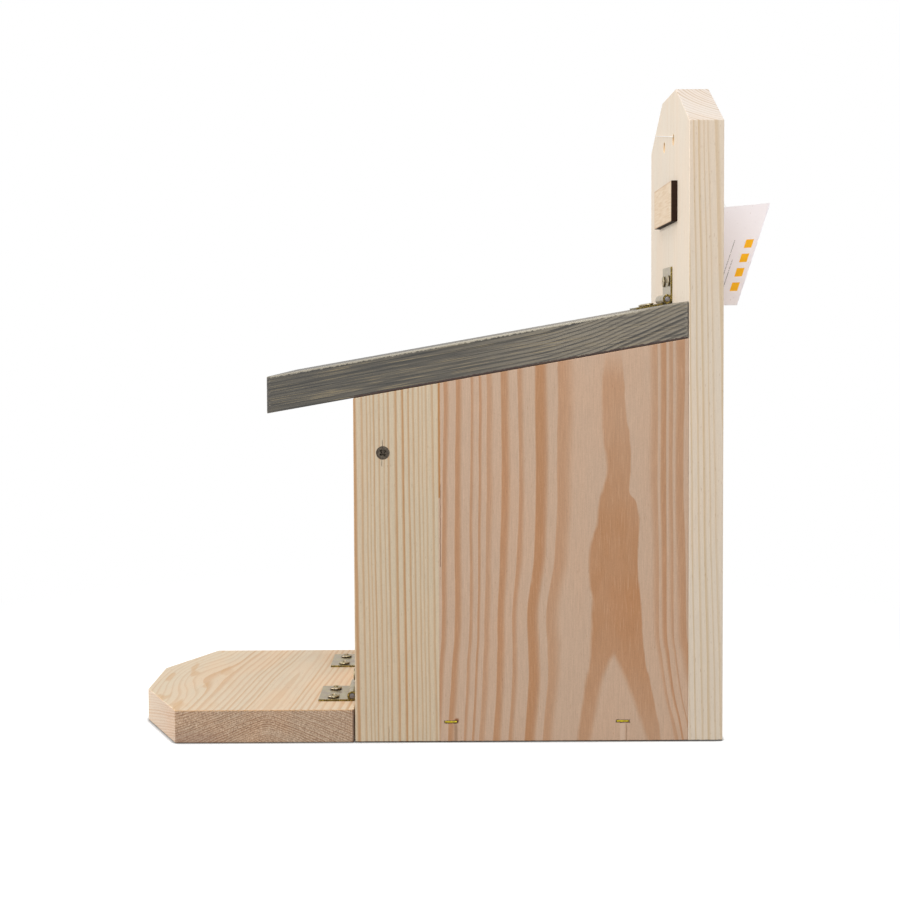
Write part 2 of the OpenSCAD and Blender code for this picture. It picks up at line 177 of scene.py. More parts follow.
class Graph:
    """Builds a node tree."""

    def __init__(self, owner: Union[str, bpy.types.World]) -> None:
        """Starts an empty tree.

        Args:
            owner: The name of the new material that the tree is for, or the world.
        """
        self.owner = bpy.data.materials.new(owner) if isinstance(owner, str) else owner
        self.owner.use_nodes = True
        self.tree = self.owner.node_tree
        self.tree.nodes.clear()

    def put(self, kind: str, *inputs: object, **settings: object) -> bpy.types.Node:
        """Adds a node and fills its inputs in order.

        Args:
            kind: The node's type name.
            *inputs: A field or socket to link or a value to set for each input, or None to leave it.
            **settings: Properties of the node.

        Returns:
            The node.
        """
        node = self.tree.nodes.new(kind)
        for name, value in settings.items():
            setattr(node, name, value)
        for slot, value in zip(node.inputs, inputs):
            self.feed(slot, value)
        return node

    def socket(self, kind: str, *inputs: object, output: Union[int, str] = 0, **settings: object) -> Socket:
        """Adds a node as put does and gives one of its outputs."""
        return self.put(kind, *inputs, **settings).outputs[output]

    def field(self, kind: str, *inputs: object, output: Union[int, str] = 0, **settings: object) -> Field:
        """Adds a node as put does and gives one of its outputs as a number."""
        return Field(self, self.socket(kind, *inputs, output=output, **settings))

    def feed(self, slot: Socket, value: object) -> None:
        """Links or sets one input.

        Args:
            slot: The input.
            value: A field, a socket, a number, a colour or a vector, or None to leave the input.
        """
        if isinstance(value, Field):
            value = value.socket
        if value is None:
            return
        if isinstance(value, bpy.types.NodeSocket):
            self.tree.links.new(value, slot)
        elif slot.type == "RGBA":
            slot.default_value = (*value[:3], 1)
        else:
            slot.default_value = value

    def math(self, operation: str, first: Number, second: Number = 0.0, clamp: bool = False) -> Field:
        """Adds a Math node.

        Args:
            operation: The node's operation.
            first: The first number.
            second: The second number.
            clamp: Whether the result is kept between 0 and 1.

        Returns:
            The result.
        """
        return self.field("ShaderNodeMath", first, second, operation=operation, use_clamp=clamp)

    def hypot(self, first: Field, second: Field) -> Field:
        """Gives the length of a line that goes so far one way and so far at right angles to it."""
        return self.math("SQRT", first * first + second * second)

    def dot(self, vector: Socket, axis: Sequence[float]) -> Field:
        """Measures a vector along an axis."""
        kind = "ShaderNodeVectorMath"
        return self.field(kind, vector, tuple(axis), output="Value", operation="DOT_PRODUCT")

    def length(self, vector: Socket) -> Field:
        """Measures how long a vector is."""
        return self.field("ShaderNodeVectorMath", vector, output="Value", operation="LENGTH")

    def off(self, vector: Socket, point: Triple) -> Socket:
        """Measures a place from a point."""
        return self.socket("ShaderNodeVectorMath", vector, tuple(-c for c in point), operation="ADD")

    def scaled(self, vector: Socket, x: float, y: float, z: float) -> Socket:
        """Multiplies a place along its three axes."""
        return self.socket("ShaderNodeVectorMath", vector, (x, y, z), operation="MULTIPLY")

    def parts(self, vector: Socket) -> tuple[Field, ...]:
        """Splits a place into its three numbers."""
        return tuple(Field(self, part) for part in self.put("ShaderNodeSeparateXYZ", vector).outputs)

    def noise(
        self, where: Union[Socket, tuple[Number, Number, Number]], scale: float = 1.0, detail: float = 2.0,
        rough: float = 0.5, output: str = "Fac",
    ) -> Field:
        """Adds a 3-D noise.

        Args:
            where: A place, or its three numbers.
            scale: How many waves go into one unit.
            detail: How many finer layers it has.
            rough: How much the finer layers count.
            output: The node's output, Fac or Color.

        Returns:
            The noise, from 0 to 1.
        """
        place = self.socket("ShaderNodeCombineXYZ", *where) if isinstance(where, tuple) else where
        return self.field("ShaderNodeTexNoise", place, None, scale, detail, rough, output=output)

    def chance(self, value: Field, seed: float = 0.0) -> Field:
        """Gives a random value from 0 to 1 for each whole number."""
        pair = self.socket("ShaderNodeCombineXYZ", value, seed, 0.0)
        return self.field("ShaderNodeTexWhiteNoise", pair, output="Value", noise_dimensions="2D")

    def mix(self, share: Number, first: object, second: object, blend: str = "MIX") -> Socket:
        """Mixes two colours.

        Args:
            share: How much of the second colour shows.
            first: The first colour.
            second: The second colour.
            blend: The node's way to blend.

        Returns:
            The mixed colour.
        """
        node = self.put("ShaderNodeMix", data_type="RGBA", blend_type=blend)
        for slot, value in zip((0, 6, 7), (share, first, second)):
            self.feed(node.inputs[slot], value)
        return node.outputs[2]

    def tinted(self, colour: Socket, tint: object) -> Socket:
        """Multiplies a colour by a tint."""
        return self.mix(1.0, colour, tint, "MULTIPLY")

    def place(self) -> Socket:
        """Gives the place on the piece, in millimetres in the row frame."""
        return self.scaled(self.socket("ShaderNodeTexCoord", output="Object"), *(1 / MM,) * 3)

    def facing(self) -> Socket:
        """Gives the surface's direction in the piece's own axes."""
        return self.socket("ShaderNodeTexCoord", output="Normal")

    def bump(self, height: Field, depth: float) -> Socket:
        """Turns a height from 0 to 1 into a bump of that depth in millimetres."""
        node = self.put("ShaderNodeBump", 1.0, depth * MM)
        self.feed(node.inputs["Height"], height)
        return node.outputs["Normal"]

    def finish(self, **inputs: object) -> bpy.types.Material:
        """Closes the graph with a Principled surface.

        Args:
            **inputs: Its inputs by name, with underscores for spaces.

        Returns:
            The material.
        """
        surface = self.put("ShaderNodeBsdfPrincipled")
        for name, value in inputs.items():
            self.feed(surface.inputs[name.replace("_", " ")], value)
        self.put("ShaderNodeOutputMaterial", surface.outputs[0])
        return self.owner


# Finishes


@dataclass(frozen=True)
class Crack:
    """A thin upright split in a board's side face, placed by its way back from the front edge."""

    y: float
    low: float
    high: float
    width: float = 0.22
    colour: Triple = (92, 70, 56)


@dataclass(frozen=True)
class Swell:
    """A place near a knot where the rings swell outwards."""

    place: Triple
    reach: float
    amount: float


@dataclass(frozen=True)
class Spot:
    """A point of a board's surface: its place in the row frame and in the wood.

    In the wood it is measured from the pith: across (u), along the board's depth (v) and along the
    grain (w). The number far is w, moved on by a long way of the board's own, so that no two boards
    look alike.
    """

    g: Graph
    place: Socket
    facing: Socket
    x: Field
    y: Field
    z: Field
    u: Field
    v: Field
    w: Field
    far: Field

    def grain(
        self, wide: float, long: float, detail: float, rough: float = 0.5, output: str = "Fac"
    ) -> Field:
        """Gives a noise that is drawn out along the wood.

        Args:
            wide: Its waves' width in millimetres.
            long: Its waves' length in millimetres.
            detail: How many finer layers it has.
            rough: How much the finer layers count.
            output: The noise node's output.

        Returns:
            The noise, from 0 to 1.
        """
        where = (self.u / wide, self.v / wide, self.far / long)
        return self.g.noise(where, 1.0, detail, rough, output)

    def sideways(self) -> Field:
        """Tells how much the surface faces left or right."""
        return abs(self.g.dot(self.facing, (1, 0, 0)))

    def paint(self, share: Field, colour: Socket, red: float, green: float, blue: float) -> Socket:
        """Lays a share of a screen colour over a colour."""
        return self.g.mix(share, colour, srgb(red, green, blue))


@dataclass(frozen=True)
class Pine:
    """Sawn pine: growth rings round a pith line, which every face of a board cuts through.

    The pith passes through the given place, the grain runs along it, and depth points from the
    pith to the board. The rows of pairs are curves. The rings' one goes from the distance to the
    pith to a ring's number, the strengths' one from that number to how dark the ring is, and the
    spread's one from the place across the board to the place across the tree. Lift and bend go
    from the place along the grain to how far the rings shift inwards and across.
    """

    name: str
    pith: Triple
    grain: Triple
    depth: Triple
    early: Triple
    late: Triple
    end_tint: Triple = (0.80, 0.70, 0.62)
    end_ring: Triple = (0.20, 0.11, 0.07)
    end_pore: Triple = (0.16, 0.08, 0.05)
    end_speck: Triple = (0.80, 0.66, 0.52)
    ring: float = 2.6
    ring_drift: float = 0.6
    rings: Pairs = ()
    spread: Pairs = ()
    lift: Pairs = ()
    bend: Pairs = ()
    strengths: Pairs = ()
    faintest: float = 0.6
    late_from: float = 0.62
    late_vary: float = 0.16
    late_soft: float = 0.14
    late_end: float = 0.93
    wave: float = 1.2
    deep_wave: float = 0.6
    wave_size: float = 45.0
    wave_length: float = 130.0
    jitter: float = 0.22
    fibre: float = 0.10
    fleck: float = 0.16
    fleck_tint: Triple = (0.72, 0.60, 0.50)
    streak: float = 0.25
    mottle: float = 0.10
    mottle_tint: Triple = (1.06, 0.98, 0.92)
    flat_fade: float = 1.0
    flat_band: float = 1.0
    end_pores: float = 0.22
    end_late: float = 0.2
    roughness: float = 0.66
    gloss: float = 0.35
    # Painted contact shade along the bottom edge, where the board stands on the floor: its strength, then its
    # colour.
    foot: float = 0.92
    foot_shade: Triple = (54, 44, 41)
    seed: float = 0.0
    cracks: tuple[Crack, ...] = ()
    swells: tuple[Swell, ...] = ()

    def axes(self) -> tuple[Vector, Vector, Vector]:
        """Gives the board's across, inward and grain directions."""
        along = Vector(self.grain).normalized()
        inward = Vector(self.depth)
        inward = (inward - inward.dot(along) * along).normalized()
        return along.cross(inward), inward, along

    def spot(self) -> Spot:
        """Starts the wood's graph.

        Returns:
            The point that the graph works on.
        """
        g = Graph(self.name)
        place = g.place()
        from_pith = g.off(place, self.pith)
        u, v, w = (g.dot(from_pith, axis) for axis in self.axes())
        return Spot(g, place, g.facing(), *g.parts(place), u, v, w, w + self.seed * SEED_STEP)

    def warped(self, at: Spot) -> tuple[Field, Field]:
        """Bends the rings as a tree's are bent.

        Args:
            at: The point of the board.

        Returns:
            How deep the point lies once the wood is bent, and its distance from the pith.
        """
        slow = at.grain(self.wave_size, self.wave_length, 1.0, output="Color")
        waves = at.g.put("ShaderNodeSeparateColor", slow).outputs
        across, deep = at.u, at.v + Field(at.g, waves[1]).swing(self.deep_wave)
        if self.bend:
            across = across - at.w.curve(self.bend) * at.u.ease(8.0, 16.0)
        if self.spread:
            across = across.curve(self.spread)
        across = across + Field(at.g, waves[0]).swing(self.wave)
        if self.lift:
            deep = deep + at.w.curve(self.lift)
        radius = at.g.hypot(across, deep) + at.grain(5.0, 42.0, 3.0).swing(self.jitter)
        for swell in self.swells:
            away = at.g.length(at.g.scaled(at.g.off(at.place, swell.place), 0.45, 1.0, 1.0))
            radius = radius + away.ease(0.0, swell.reach, swell.amount, 0.0)
        return deep, radius

    def late_share(self, at: Spot) -> Field:
        """Tells early wood from late wood.

        Args:
            at: The point of the board.

        Returns:
            A number from 0 in pale early wood to 1 in dark late wood.
        """
        g = at.g
        deep, radius = self.warped(at)
        if self.rings:
            phase = radius.curve(self.rings)
        else:
            drift = g.noise((radius / 9.0, self.seed, 0.0), 1.0, 1.0)
            phase = radius / self.ring + drift.swing(self.ring_drift)
        number = g.math("FLOOR", phase)
        share = phase - number
        start = g.chance(number, self.seed).swing(self.late_vary) + self.late_from
        if self.strengths:
            weight = (number + 0.5).curve(self.strengths)
        else:
            weight = g.chance(number, self.seed + 3.7).ease(0.0, 1.0, self.faintest, 1.0)
        rise = share.ease(start - self.late_soft, start + self.late_soft)
        late = rise * share.fall(self.late_end, 1.0) * weight
        inward = g.dot(at.facing, self.axes()[1])
        if self.flat_fade != 1.0:
            late = late * inward.ease(0.6, 0.9, 1.0, self.flat_fade)
        if self.flat_band != 1.0:
            on_flat = (abs(deep) / radius).ease(0.94, 0.995) * abs(inward).ease(0.5, 0.8)
            late = late * (1.0 - on_flat * (1.0 - self.flat_band))
        return self.flamed(at, late)

    def material(self) -> bpy.types.Material:
        """Builds the wood's material.

        Returns:
            The material.
        """
        at = self.spot()
        g = at.g
        late = self.late_share(at)
        strands = at.grain(0.42, 11.0, 3.0, 0.6)
        flecks = at.grain(0.5, 3.4, 1.0)
        broad = at.grain(24.0, 75.0, 2.0)
        grit = g.noise(at.place, 1.35, 3.0, 0.8)

        colour = g.mix(late, self.early, self.late)
        mottled = g.tinted(colour, self.mottle_tint)
        colour = g.mix(broad.ease(0.38, 0.66, 0.0, self.mottle * 10), colour, mottled)
        colour = g.mix(late * strands.ease(0.56, 0.72, 0.0, self.streak), colour, self.early)
        shade = strands.swing(self.fibre) + grit.swing(0.75 * self.fibre) + 1.0
        colour = g.tinted(colour, g.socket("ShaderNodeCombineColor", shade, shade, shade))
        darker = g.tinted(colour, self.fleck_tint)
        colour = g.mix(flecks.ease(0.66, 0.80, 0.0, self.fleck * 4), colour, darker)

        end = abs(g.dot(at.facing, self.axes()[2])).ease(0.35, 0.9)
        pores = g.noise(at.place, 1.45, 3.0, 0.75)
        ended = g.mix(late * self.end_late, g.tinted(colour, self.end_tint), self.end_ring)
        ended = g.mix(pores.ease(0.36, 0.56, self.end_pores, 0.0), ended, self.end_pore)
        ended = g.mix(pores.ease(0.54, 0.72, 0.0, self.end_pores), ended, self.end_speck)
        colour = self.marked(at, self.cracked(at, g.mix(end, colour, ended)))
        # Painted shade along the bottom edge, where the board meets the floor, with a wobbling line.
        foot_wobble = g.noise(g.scaled(at.place, 0.6, 0.6, 0.6)).swing(0.22)
        colour = at.paint((at.z + foot_wobble).ease(0.28, 0.66, self.foot, 0.0), colour, *self.foot_shade)

        height = late * 0.35 + strands * 0.5 + end * pores * 0.5
        rough = late * -0.08 + self.roughness + end * 0.12
        return g.finish(
            Base_Color=colour, Roughness=rough, Normal=g.bump(height, 0.09), Specular_IOR_Level=self.gloss
        )

    def flamed(self, at: Spot, late: Field) -> Field:
        """Adds the dark flame of a board cut along a ring, which most boards don't have."""
        return late

    def marked(self, at: Spot, colour: Socket) -> Socket:
        """Adds a board's own marks, of which plain pine has none."""
        return colour

    def cracked(self, at: Spot, colour: Socket) -> Socket:
        """Draws the board's splits.

        Args:
            at: The point of the board.
            colour: The colour so far.

        Returns:
            The colour with the splits.
        """
        if not self.cracks:
            return colour
        bend = at.g.noise((0.0, 0.0, at.z / 4.0)).swing(0.35)
        for crack in self.cracks:
            aside = abs(at.y + bend - (crack.y + FRONT_Y))
            line = aside.fall(crack.width * 0.5, crack.width * 1.6)
            above = at.z.ease(crack.low - 0.5, crack.low + 0.5)
            below = at.z.fall(crack.high - 2.5, crack.high)
            colour = at.paint(line * above * below * 0.9, colour, *crack.colour)
        return colour


@dataclass(frozen=True)
class StapledPine(Pine):
    """A rear stave's pine, darker round its two staples."""

    staples: Pair = (50.1, 139.9)
    height: float = 10.44
    half_width: float = 3.45
    half_wire: float = 0.62

    def marked(self, at: Spot, colour: Socket) -> Socket:
        """Shows the front staple's rust, the groove under the rear one, and a dark rim round each staple.

        Args:
            at: The point of the board.
            colour: The colour so far.

        Returns:
            The colour with the staples' marks.
        """
        ragged = at.g.noise(at.g.scaled(at.place, 1.1, 1.1, 1.1)).swing(0.5)
        front, rear = (spot + FRONT_Y for spot in self.staples)
        stain = at.g.hypot(at.y - (front + 2.9), at.z - (self.height + 0.9))
        colour = at.paint((stain + ragged).ease(0.5, 1.7, 0.9, 0.0), colour, 134, 78, 34)
        colour = self.rimmed(at, front, ragged, colour)
        groove = abs(at.y - (rear - 0.3)).fall(1.0, 1.4) * at.z.fall(self.height - 1.2, self.height - 0.8)
        colour = at.paint(groove * 0.55, colour, 214, 188, 166)
        return self.rimmed(at, rear, ragged, colour)

    def rimmed(self, at: Spot, staple_y: float, ragged: Field, colour: Socket) -> Socket:
        """Darkens a ragged rim round one staple.

        Args:
            at: The point of the board.
            staple_y: The staple's middle.
            ragged: How far the bruise's outline strays.
            colour: The colour so far.

        Returns:
            The colour with the dark rim.
        """
        aside = abs(at.y - staple_y) - self.half_width
        above = abs(at.z - self.height) - self.half_wire
        # A dark ragged rim round the staple's crown.
        dark_rim = (at.g.math("MAXIMUM", aside, above) + ragged).fall(-0.1, 0.45)
        return at.paint(dark_rim * 0.88, colour, 66, 42, 22)


@dataclass(frozen=True)
class FlamedPine(StapledPine):
    """A stapled stave cut along a ring, so that a dark flame rises on it and forks at its foot.

    Each edge of the flame is a row of pairs: a height, and how far back the edge lies there.
    """

    rings: Pairs = (
        (0.0, -4.0), (18.5, -1.0), (22.5, -0.34), (25.0, 0.0), (29.2, 0.6), (31.4, 1.0), (34.8, 1.66),
        (37.1, 2.0), (39.0, 2.66), (41.8, 3.0), (44.6, 3.66), (46.0, 4.0), (48.2, 4.66), (50.3, 5.0),
        (52.4, 5.66), (53.9, 6.0), (55.1, 6.66), (55.8, 7.0), (57.0, 7.66), (57.8, 8.0), (59.9, 8.66),
        (61.4, 9.0), (63.2, 9.66), (64.4, 10.0), (90.0, 19.0),
    )
    strengths: Pairs = (
        (-4.0, 0.0), (0.5, 0.0), (1.5, 0.62), (2.5, 0.95), (3.5, 0.7), (4.5, 0.85), (5.5, 0.6), (6.5, 0.8),
        (7.5, 0.7), (8.5, 0.85), (9.5, 0.8), (19.0, 0.8),
    )
    spread: Pairs = (
        (-110.0, -66.0), (-60.0, -38.0), (-28.8, -17.9), (-15.2, -9.4), (0.0, 0.0), (8.6, 9.0),
        (16.4, 15.8), (19.9, 20.4), (21.2, 23.7), (24.3, 28.0), (25.4, 32.1), (27.7, 34.0), (29.0, 36.9),
        (33.8, 39.6), (60.0, 66.0),
    )
    lift: Pairs = (
        (0.0, -4.4), (10.0, -3.8), (25.0, -2.8), (44.0, -2.0), (55.0, -1.3), (75.0, -0.95), (95.0, -0.85),
        (135.0, -0.05), (220.0, 0.0),
    )
    bend: Pairs = (
        (0.0, 8.2), (12.0, 6.2), (22.0, 4.1), (33.0, 2.5), (45.0, 1.2), (62.0, 0.0), (200.0, 0.0),
    )
    left: Pairs = (
        (0.0, 115.9), (12.6, 117.7), (22.8, 119.3), (33.0, 120.8), (43.3, 122.8), (53.5, 123.2),
        (73.9, 123.9), (82.0, 122.7), (94.3, 122.4), (108.0, 124.4), (114.8, 126.6), (123.0, 127.2),
        (133.5, 129.6), (143.8, 131.6), (159.0, 129.6), (169.0, 129.2), (180.0, 129.0), (200.0, 130.5),
    )
    right: Pairs = (
        (0.0, 159.7), (12.6, 157.9), (22.8, 155.8), (33.0, 153.7), (43.3, 151.3), (53.5, 150.3),
        (73.9, 149.2), (94.3, 147.5), (114.8, 148.2), (121.0, 147.8), (127.0, 145.8), (132.0, 143.3),
        (143.8, 144.0), (159.0, 143.5), (169.0, 141.6), (180.0, 140.9), (200.0, 139.5),
    )
    fork_left: Pairs = (
        (0.0, 122.6), (12.6, 125.0), (22.8, 126.8), (33.0, 129.2), (41.0, 132.2), (49.0, 136.0),
        (60.0, 138.0),
    )
    fork_right: Pairs = (
        (0.0, 152.9), (12.6, 148.6), (22.8, 145.0), (33.0, 141.0), (41.0, 137.6), (49.0, 134.0),
        (60.0, 132.0),
    )
    depth_of_tone: Pairs = (
        (0.0, 0.66), (15.0, 0.74), (35.0, 0.88), (50.0, 0.98), (100.0, 1.0), (125.0, 0.92), (145.0, 0.85),
        (165.0, 0.68), (185.0, 0.62), (195.0, 0.4), (203.0, 0.1),
    )

    def flamed(self, at: Spot, late: Field) -> Field:
        """Adds the flame to the rings' dark share.

        Args:
            at: The point of the board.
            late: The rings' dark share.

        Returns:
            The dark share with the flame.
        """
        ragged = at.g.noise((0.0, at.y / 2.2, at.z / 14.0), 1.0, 3.0).swing(0.9)
        y = at.y - FRONT_Y + ragged
        late = late * y.ease(153.0, 158.0, 1.0, 0.84)

        def past(edge: Pairs, soft: float, sign: float) -> Field:
            """Rises from 0 to 1 where the place passes an edge, backwards or forwards."""
            return ((y - at.z.curve(edge)) * sign).ease(-soft, soft)

        body = past(self.left, 1.1, 1.0) * past(self.right, 0.45, -1.0)
        fork = past(self.fork_left, 1.9, 1.0) * past(self.fork_right, 1.9, -1.0)
        cloud = at.g.noise(at.g.scaled(at.place, 0.07, 0.07, 0.03)).ease(0.3, 0.7, 0.84, 1.0)
        tone = at.z.curve(self.depth_of_tone) * cloud
        return at.g.math("MAXIMUM", late, body * (1.0 - fork) * tone)


@dataclass(frozen=True)
class BoredPine(Pine):
    """The back board's pine, with the fresh wood of its hanging holes."""

    bores: Pairs = ((-15.0, 319.5), (15.0, 319.5))
    bore_radius: float = 3.0

    def marked(self, at: Spot, colour: Socket) -> Socket:
        """Paints shade on the faces that look sideways and shows the fresh, orange wood in the holes.

        Args:
            at: The point of the board.
            colour: The colour so far.

        Returns:
            The colour with the painted edge shade and the holes.
        """
        # Painted shade: the faces that look left or right are darkened.
        darker = at.g.tinted(colour, (0.925, 0.90, 0.87))
        colour = at.g.mix(at.sideways().ease(0.8, 0.95), colour, darker)
        for x, z in self.bores:
            inside = at.g.hypot(at.x - x, at.z - z).fall(self.bore_radius + 0.1, self.bore_radius + 0.5)
            colour = at.paint(inside, colour, 255, 230, 192)
        return colour


@dataclass(frozen=True)
class TornPine(Pine):
    """The platform's pine, with torn fibres along its sawn end."""

    rear_y: float = -37.85
    top: float = 17.3

    def marked(self, at: Spot, colour: Socket) -> Socket:
        """Shows the torn fibres, the sawn end darker low down near the front, painted shadow where the sawn
        end meets the box, and the corner cuts' brown dashes.

        Args:
            at: The point of the board.
            colour: The colour so far.

        Returns:
            The colour with the platform's marks.
        """
        g = at.g
        reach = g.noise((0.0, at.y / 0.8, 0.0), 1.0, 2.0, 0.7).ease(0.38, 0.66, 0.02, 0.85)
        start = SIDE_FACE_X - reach
        on_top = at.z.ease(self.top - 0.5, self.top - 0.2)
        on_end = at.x.ease(SIDE_FACE_X - 0.4, SIDE_FACE_X - 0.1)
        torn_top = at.x.ease(start, start + 0.3) * on_top
        torn_end = on_end * at.z.ease(self.top - 0.3 - reach, self.top - reach)
        colour = at.paint(g.math("MAXIMUM", torn_top * 0.3, torn_end * 0.5), colour, 214, 164, 108)

        blots = g.noise((at.x / 30.0, at.y / 9.0, 5.0), 1.0, 1.5).ease(0.56, 0.63, 0.0, 0.5)
        front = at.y.fall(-128.0, -104.0) * on_top
        colour = at.paint(front * 0.2, colour, 226, 209, 182)
        colour = at.paint(front * blots, colour, 206, 164, 116)
        # The sawn end darker towards its foot near the front.
        low = on_end * at.z.fall(2.0, 9.0) * at.y.fall(-118.0, -92.0)
        colour = at.paint(low * 0.35, colour, 140, 104, 88)
        # Painted shadow: a dark line at the sawn end's rear, in the gap where the platform meets the box.
        gap = on_end * at.y.ease(self.rear_y - 0.9, self.rear_y - 0.5)
        colour = at.paint(gap * 0.75, colour, 70, 42, 36)

        forward = g.dot(at.facing, (0, 1, 0)) * -1.0
        cut = forward.ease(0.7, 0.85) * at.sideways().ease(0.35, 0.48)
        colour = at.paint(cut * 0.3, colour, 190, 172, 162)
        dashes = g.noise((at.x / 5.0, 0.0, at.z / 0.5), 1.0, 2.0, 0.6).ease(0.62, 0.72, 0.0, 0.6)
        return at.paint(cut * dashes, colour, 168, 132, 98)


@dataclass(frozen=True)
class StainedPine(Pine):
    """The lid's pine under its grey-brown stain, with worn and torn edges and painted shadow along its lower
    edge.

    Its top and its underside are heights over the row frame's origin, square to the slope.
    """

    top: float = 202.6
    underside: float = 183.8
    front: float = -81.75

    def marked(self, at: Spot, colour: Socket) -> Socket:
        """Stains the front darker, shows the worn and torn edges and paints shadow along the lower edge where
        the lid sits on the sides.

        Args:
            at: The point of the board.
            colour: The colour so far.

        Returns:
            The colour with the stain.
        """
        g = at.g
        angle = math.radians(LID_SLOPE)
        height = g.dot(at.place, (0.0, -math.sin(angle), math.cos(angle)))
        length = g.dot(at.place, (0.0, math.cos(angle), math.sin(angle)))
        streaks = g.noise((at.x / 0.6, height / 0.42, length / 38.0), 1.0, 3.0, 0.65)
        broad = g.noise((at.x / 9.0, height / 5.0, length / 60.0))
        dark = g.mix(streaks.ease(0.34, 0.62), srgb(58, 58, 57), srgb(88, 84, 76))
        stain = at.y.ease(-5.0, 85.0, 0.86, 0.08) * broad.ease(0.2, 0.5, 0.8, 1.0)
        colour = g.mix(stain, colour, dark)
        colour = at.paint(streaks.ease(0.59, 0.635, 0.0, 0.85), colour, 150, 135, 106)
        colour = at.paint(streaks.ease(0.34, 0.45, 0.85, 0.0), colour, 52, 52, 52)

        sides, edge = at.sideways().ease(0.3, 0.6), at.sideways().ease(0.06, 0.3)
        band = g.noise((0.0, 0.0, length / 2.2), 1.0, 3.0, 0.7).ease(0.3, 0.7, 0.4, 1.3)
        worn = edge * height.ease(self.top - 0.15 - band, self.top - band)
        worn = worn * at.y.ease(-72.0, 30.0, 0.6, 0.88) * at.y.ease(104.0, 122.0, 1.0, 0.1)
        colour = at.paint(worn, colour, 186, 178, 160)
        rough = band * 0.7
        # Painted shadow: a dark ragged line along the lid's lower edge, where it sits on the side panels.
        under = sides * height.fall(self.underside + 0.3 + rough, self.underside + 0.65 + rough)
        colour = at.paint(under * at.y.ease(-41.0, -34.0, 0.0, 0.88), colour, 58, 38, 33)

        chips = g.noise((0.0, at.y / 3.0, height / 0.5), 1.0, 2.0, 0.7)
        end = sides * at.y.fall(self.front + 1.6, self.front + 2.3)
        colour = at.paint(end * 0.55, colour, 74, 72, 70)
        rear = sides * at.y.ease(134.2, 135.2) * chips.ease(0.56, 0.64, 0.0, 0.75)
        colour = at.paint(rear, colour, 186, 180, 168)
        return at.paint(end * chips.ease(0.55, 0.66, 0.0, 0.8), colour, 158, 148, 130)


@dataclass(frozen=True)
class Plated:
    """Zinc-plated or coated steel with its cloudy tints, and painted glints on its sheared edges."""

    name: str
    colour: Triple
    tint: Triple
    dark: Triple
    raw: Triple = (0.11, 0.085, 0.03)
    # Painted glints: the gold colour of the streaks on sheared edges.
    raw_glint: Triple = (0.46, 0.34, 0.10)
    roughness: float = 0.34
    cloud: float = 4.0
    dirt: float = 0.35

    def material(self) -> bpy.types.Material:
        """Builds the metal's material.

        Returns:
            The material.
        """
        g = Graph(self.name)
        place = g.place()
        clouds = g.noise(place, 1 / self.cloud, 3.0, 0.6)
        fine = g.noise(place, 3.2, 3.0, 0.65)
        specks = g.noise(place, 1.4, 4.0, 0.7)
        streaks = g.noise(place, 1.6, 2.0, 0.6)
        colour = g.mix(clouds.ease(0.36, 0.64), self.colour, self.tint)
        colour = g.mix(specks.ease(0.58, 0.76, 0.0, self.dirt), colour, self.dark)
        # Painted glints: gold streaks over the dark sheared edges.
        raw = g.mix(streaks.ease(0.5, 0.6), self.raw, self.raw_glint)
        raw = g.mix(fine.ease(0.52, 0.66, 0.0, 0.8), raw, self.dark)
        where = g.field("ShaderNodeAttribute", output="Fac", attribute_name=RAW)
        return g.finish(
            Base_Color=g.mix(where, colour, raw), Metallic=1.0,
            Roughness=fine.swing(0.125) + self.roughness, Normal=g.bump(fine, 0.03),
        )


# Meshes


def eased_copy(
    node: str,
    name: str,
    radius: float,
    least: float = 0.0,
    spare: Optional[Callable[[Vector], bool]] = None,
    segments: int = 2,
    raw: Optional[Callable[[bmesh.types.BMFace], bool]] = None,
) -> bpy.types.Object:
    """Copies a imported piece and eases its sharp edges.

    Args:
        node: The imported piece.
        name: The new piece's name.
        radius: How far an edge is taken back, in millimetres.
        least: Shorter edges than this stay sharp, in millimetres.
        spare: Tells for an edge's middle, in millimetres, whether it stays sharp.
        segments: Steps across the eased edge.
        raw: Tells whether a face, before its edges are eased, was sheared and has a raw look.

    Returns:
        The new piece.
    """
    flat_angle, sharp_angle = math.radians(1.0), math.radians(24)
    same_corner, sliver = 1e-6, 0.06 * MM
    bm = bmesh.new()
    bm.from_mesh(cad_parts[node].data)
    bmesh.ops.remove_doubles(bm, verts=bm.verts, dist=same_corner)
    bmesh.ops.dissolve_limit(bm, angle_limit=flat_angle, verts=bm.verts, edges=bm.edges)
    bmesh.ops.remove_doubles(bm, verts=bm.verts, dist=sliver)
    if raw:
        layer = bm.faces.layers.float.new(RAW)
        for face in bm.faces:
            face[layer] = float(raw(face))
    chosen = []
    for edge in bm.edges:
        if len(edge.link_faces) != 2 or edge.calc_face_angle(0.0) < sharp_angle:
            continue
        middle = (edge.verts[0].co + edge.verts[1].co) / 2 / MM
        if edge.is_convex and edge.calc_length() >= least * MM and not (spare and spare(middle)):
            chosen.append(edge)
    bmesh.ops.bevel(
        bm, geom=chosen, offset=radius * MM, segments=segments, profile=0.5,
        affect="EDGES", material=-1, clamp_overlap=True,
    )
    return finished(bm, name)


